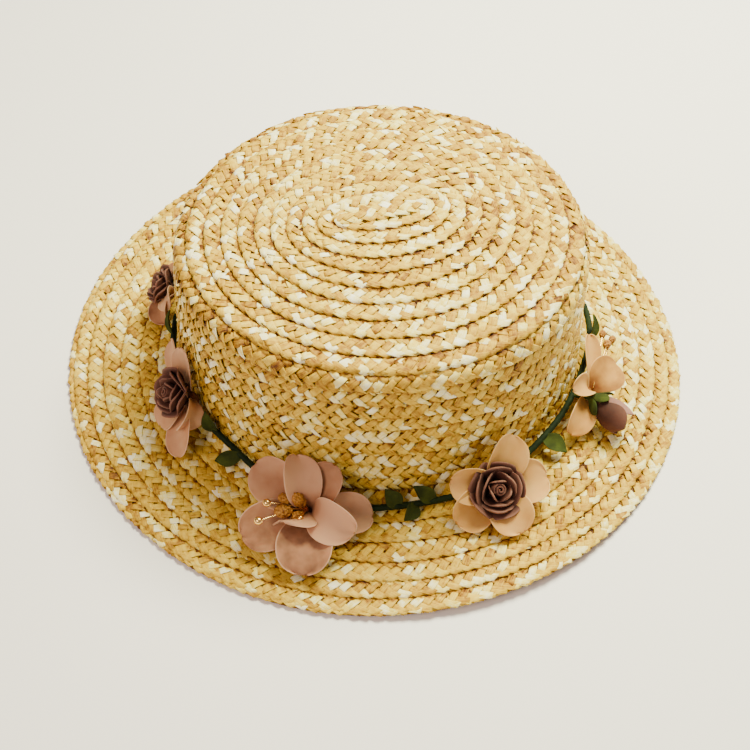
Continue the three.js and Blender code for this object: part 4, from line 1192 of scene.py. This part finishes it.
# The floor, the light and the camera. The camera looks at its target in mm from a distance in mm,
# and its focal length is in pixels of a picture as wide as pictureWidth.
camera = dict(
    azimuth=-15.3, elevation=49.78, roll=1.14, distance=620.1, target=(-10.6, -40.2, 30.0),
    focal=1335.0, pictureWidth=750, sensor=36.0, nearest=0.01,
)
floor = dict(halfSide=3.0, colours=("#F2ECED", "#F6F1F3"))
room = dict(colour="#FDF4EC", strength=0.38)


def viewDirections(azimuth, elevation, roll):
    az, el, ro = (math.radians(v) for v in (azimuth, elevation, roll))
    back = Vector((math.sin(az) * math.cos(el), -math.cos(az) * math.cos(el), math.sin(el)))
    right = Vector((math.cos(az), math.sin(az), 0.0))
    up = back.cross(right)
    return back, right * math.cos(ro) + up * math.sin(ro), up * math.cos(ro) - right * math.sin(ro)


def placeCamera():
    back, right, up = viewDirections(camera["azimuth"], camera["elevation"], camera["roll"])
    lensData = bpy.data.cameras.new("viewCamera")
    lensData.sensor_width = camera["sensor"]
    lensData.lens = camera["focal"] / camera["pictureWidth"] * camera["sensor"]
    lensData.clip_start = camera["nearest"]
    view = bpy.data.objects.new("viewCamera", lensData)
    turned = Matrix((right, up, back)).transposed().to_4x4()
    turned.translation = (Vector(camera["target"]) + back * camera["distance"]) * mm
    view.matrix_world = turned
    bpy.context.scene.collection.objects.link(view)
    bpy.context.scene.camera = view


def paleFloor():
    # A plain floor in matt white paint, very slightly uneven in tone
    material, tree = newMaterial("whiteBoard")
    coord = addNode(tree, "ShaderNodeTexCoord")
    cloud = addNode(
        tree, "ShaderNodeTexNoise", {"Scale": 3.0, "Detail": 2.0}, {"Vector": coord.outputs["Object"]},
    )
    ramp = addNode(tree, "ShaderNodeValToRGB", links={"Fac": cloud.outputs["Fac"]})
    rampColours(ramp, [(0.3, floor["colours"][0]), (0.7, floor["colours"][1])])
    shader = addNode(
        tree, "ShaderNodeBsdfPrincipled", {"Roughness": 0.7}, {"Base Color": ramp.outputs["Color"]},
    )
    addNode(tree, "ShaderNodeOutputMaterial", links={"Surface": shader.outputs["BSDF"]})
    side = floor["halfSide"] / mm
    corners = [(-side, -side, 0), (side, -side, 0), (side, side, 0), (-side, side, 0)]
    makeMesh("floor", corners, [(0, 1, 2, 3)], [material], smooth=False)


lights = [
    # the direction a light comes from, round from +X and up, its distance and size in m, and watts
    dict(name="windowLight", azimuth=36, elevation=61, distance=0.92, size=0.48, power=33, colour="#F4F5D0"),
    dict(name="fillLight", azimuth=215, elevation=42, distance=1.5, size=0.7, power=11, colour="#FFE2CC"),
]


def placeLights():
    for row in lights:
        az, el = math.radians(row["azimuth"]), math.radians(row["elevation"])
        way = Vector((math.cos(az) * math.cos(el), math.sin(az) * math.cos(el), math.sin(el)))
        lamp = bpy.data.lights.new(row["name"], "AREA")
        lamp.shape, lamp.size, lamp.energy = "DISK", row["size"], row["power"]
        lamp.color = srgb(row["colour"])[:3]
        holder = bpy.data.objects.new(row["name"], lamp)
        holder.location = way * row["distance"]
        holder.rotation_euler = way.to_track_quat("Z", "Y").to_euler()
        bpy.context.scene.collection.objects.link(holder)
    world = bpy.data.worlds.new("softRoom")
    world.use_nodes = True
    background = world.node_tree.nodes["Background"]
    background.inputs["Color"].default_value = srgb(room["colour"])
    background.inputs["Strength"].default_value = room["strength"]
    bpy.context.scene.world = world


paleFloor()
placeLights()
placeCamera()
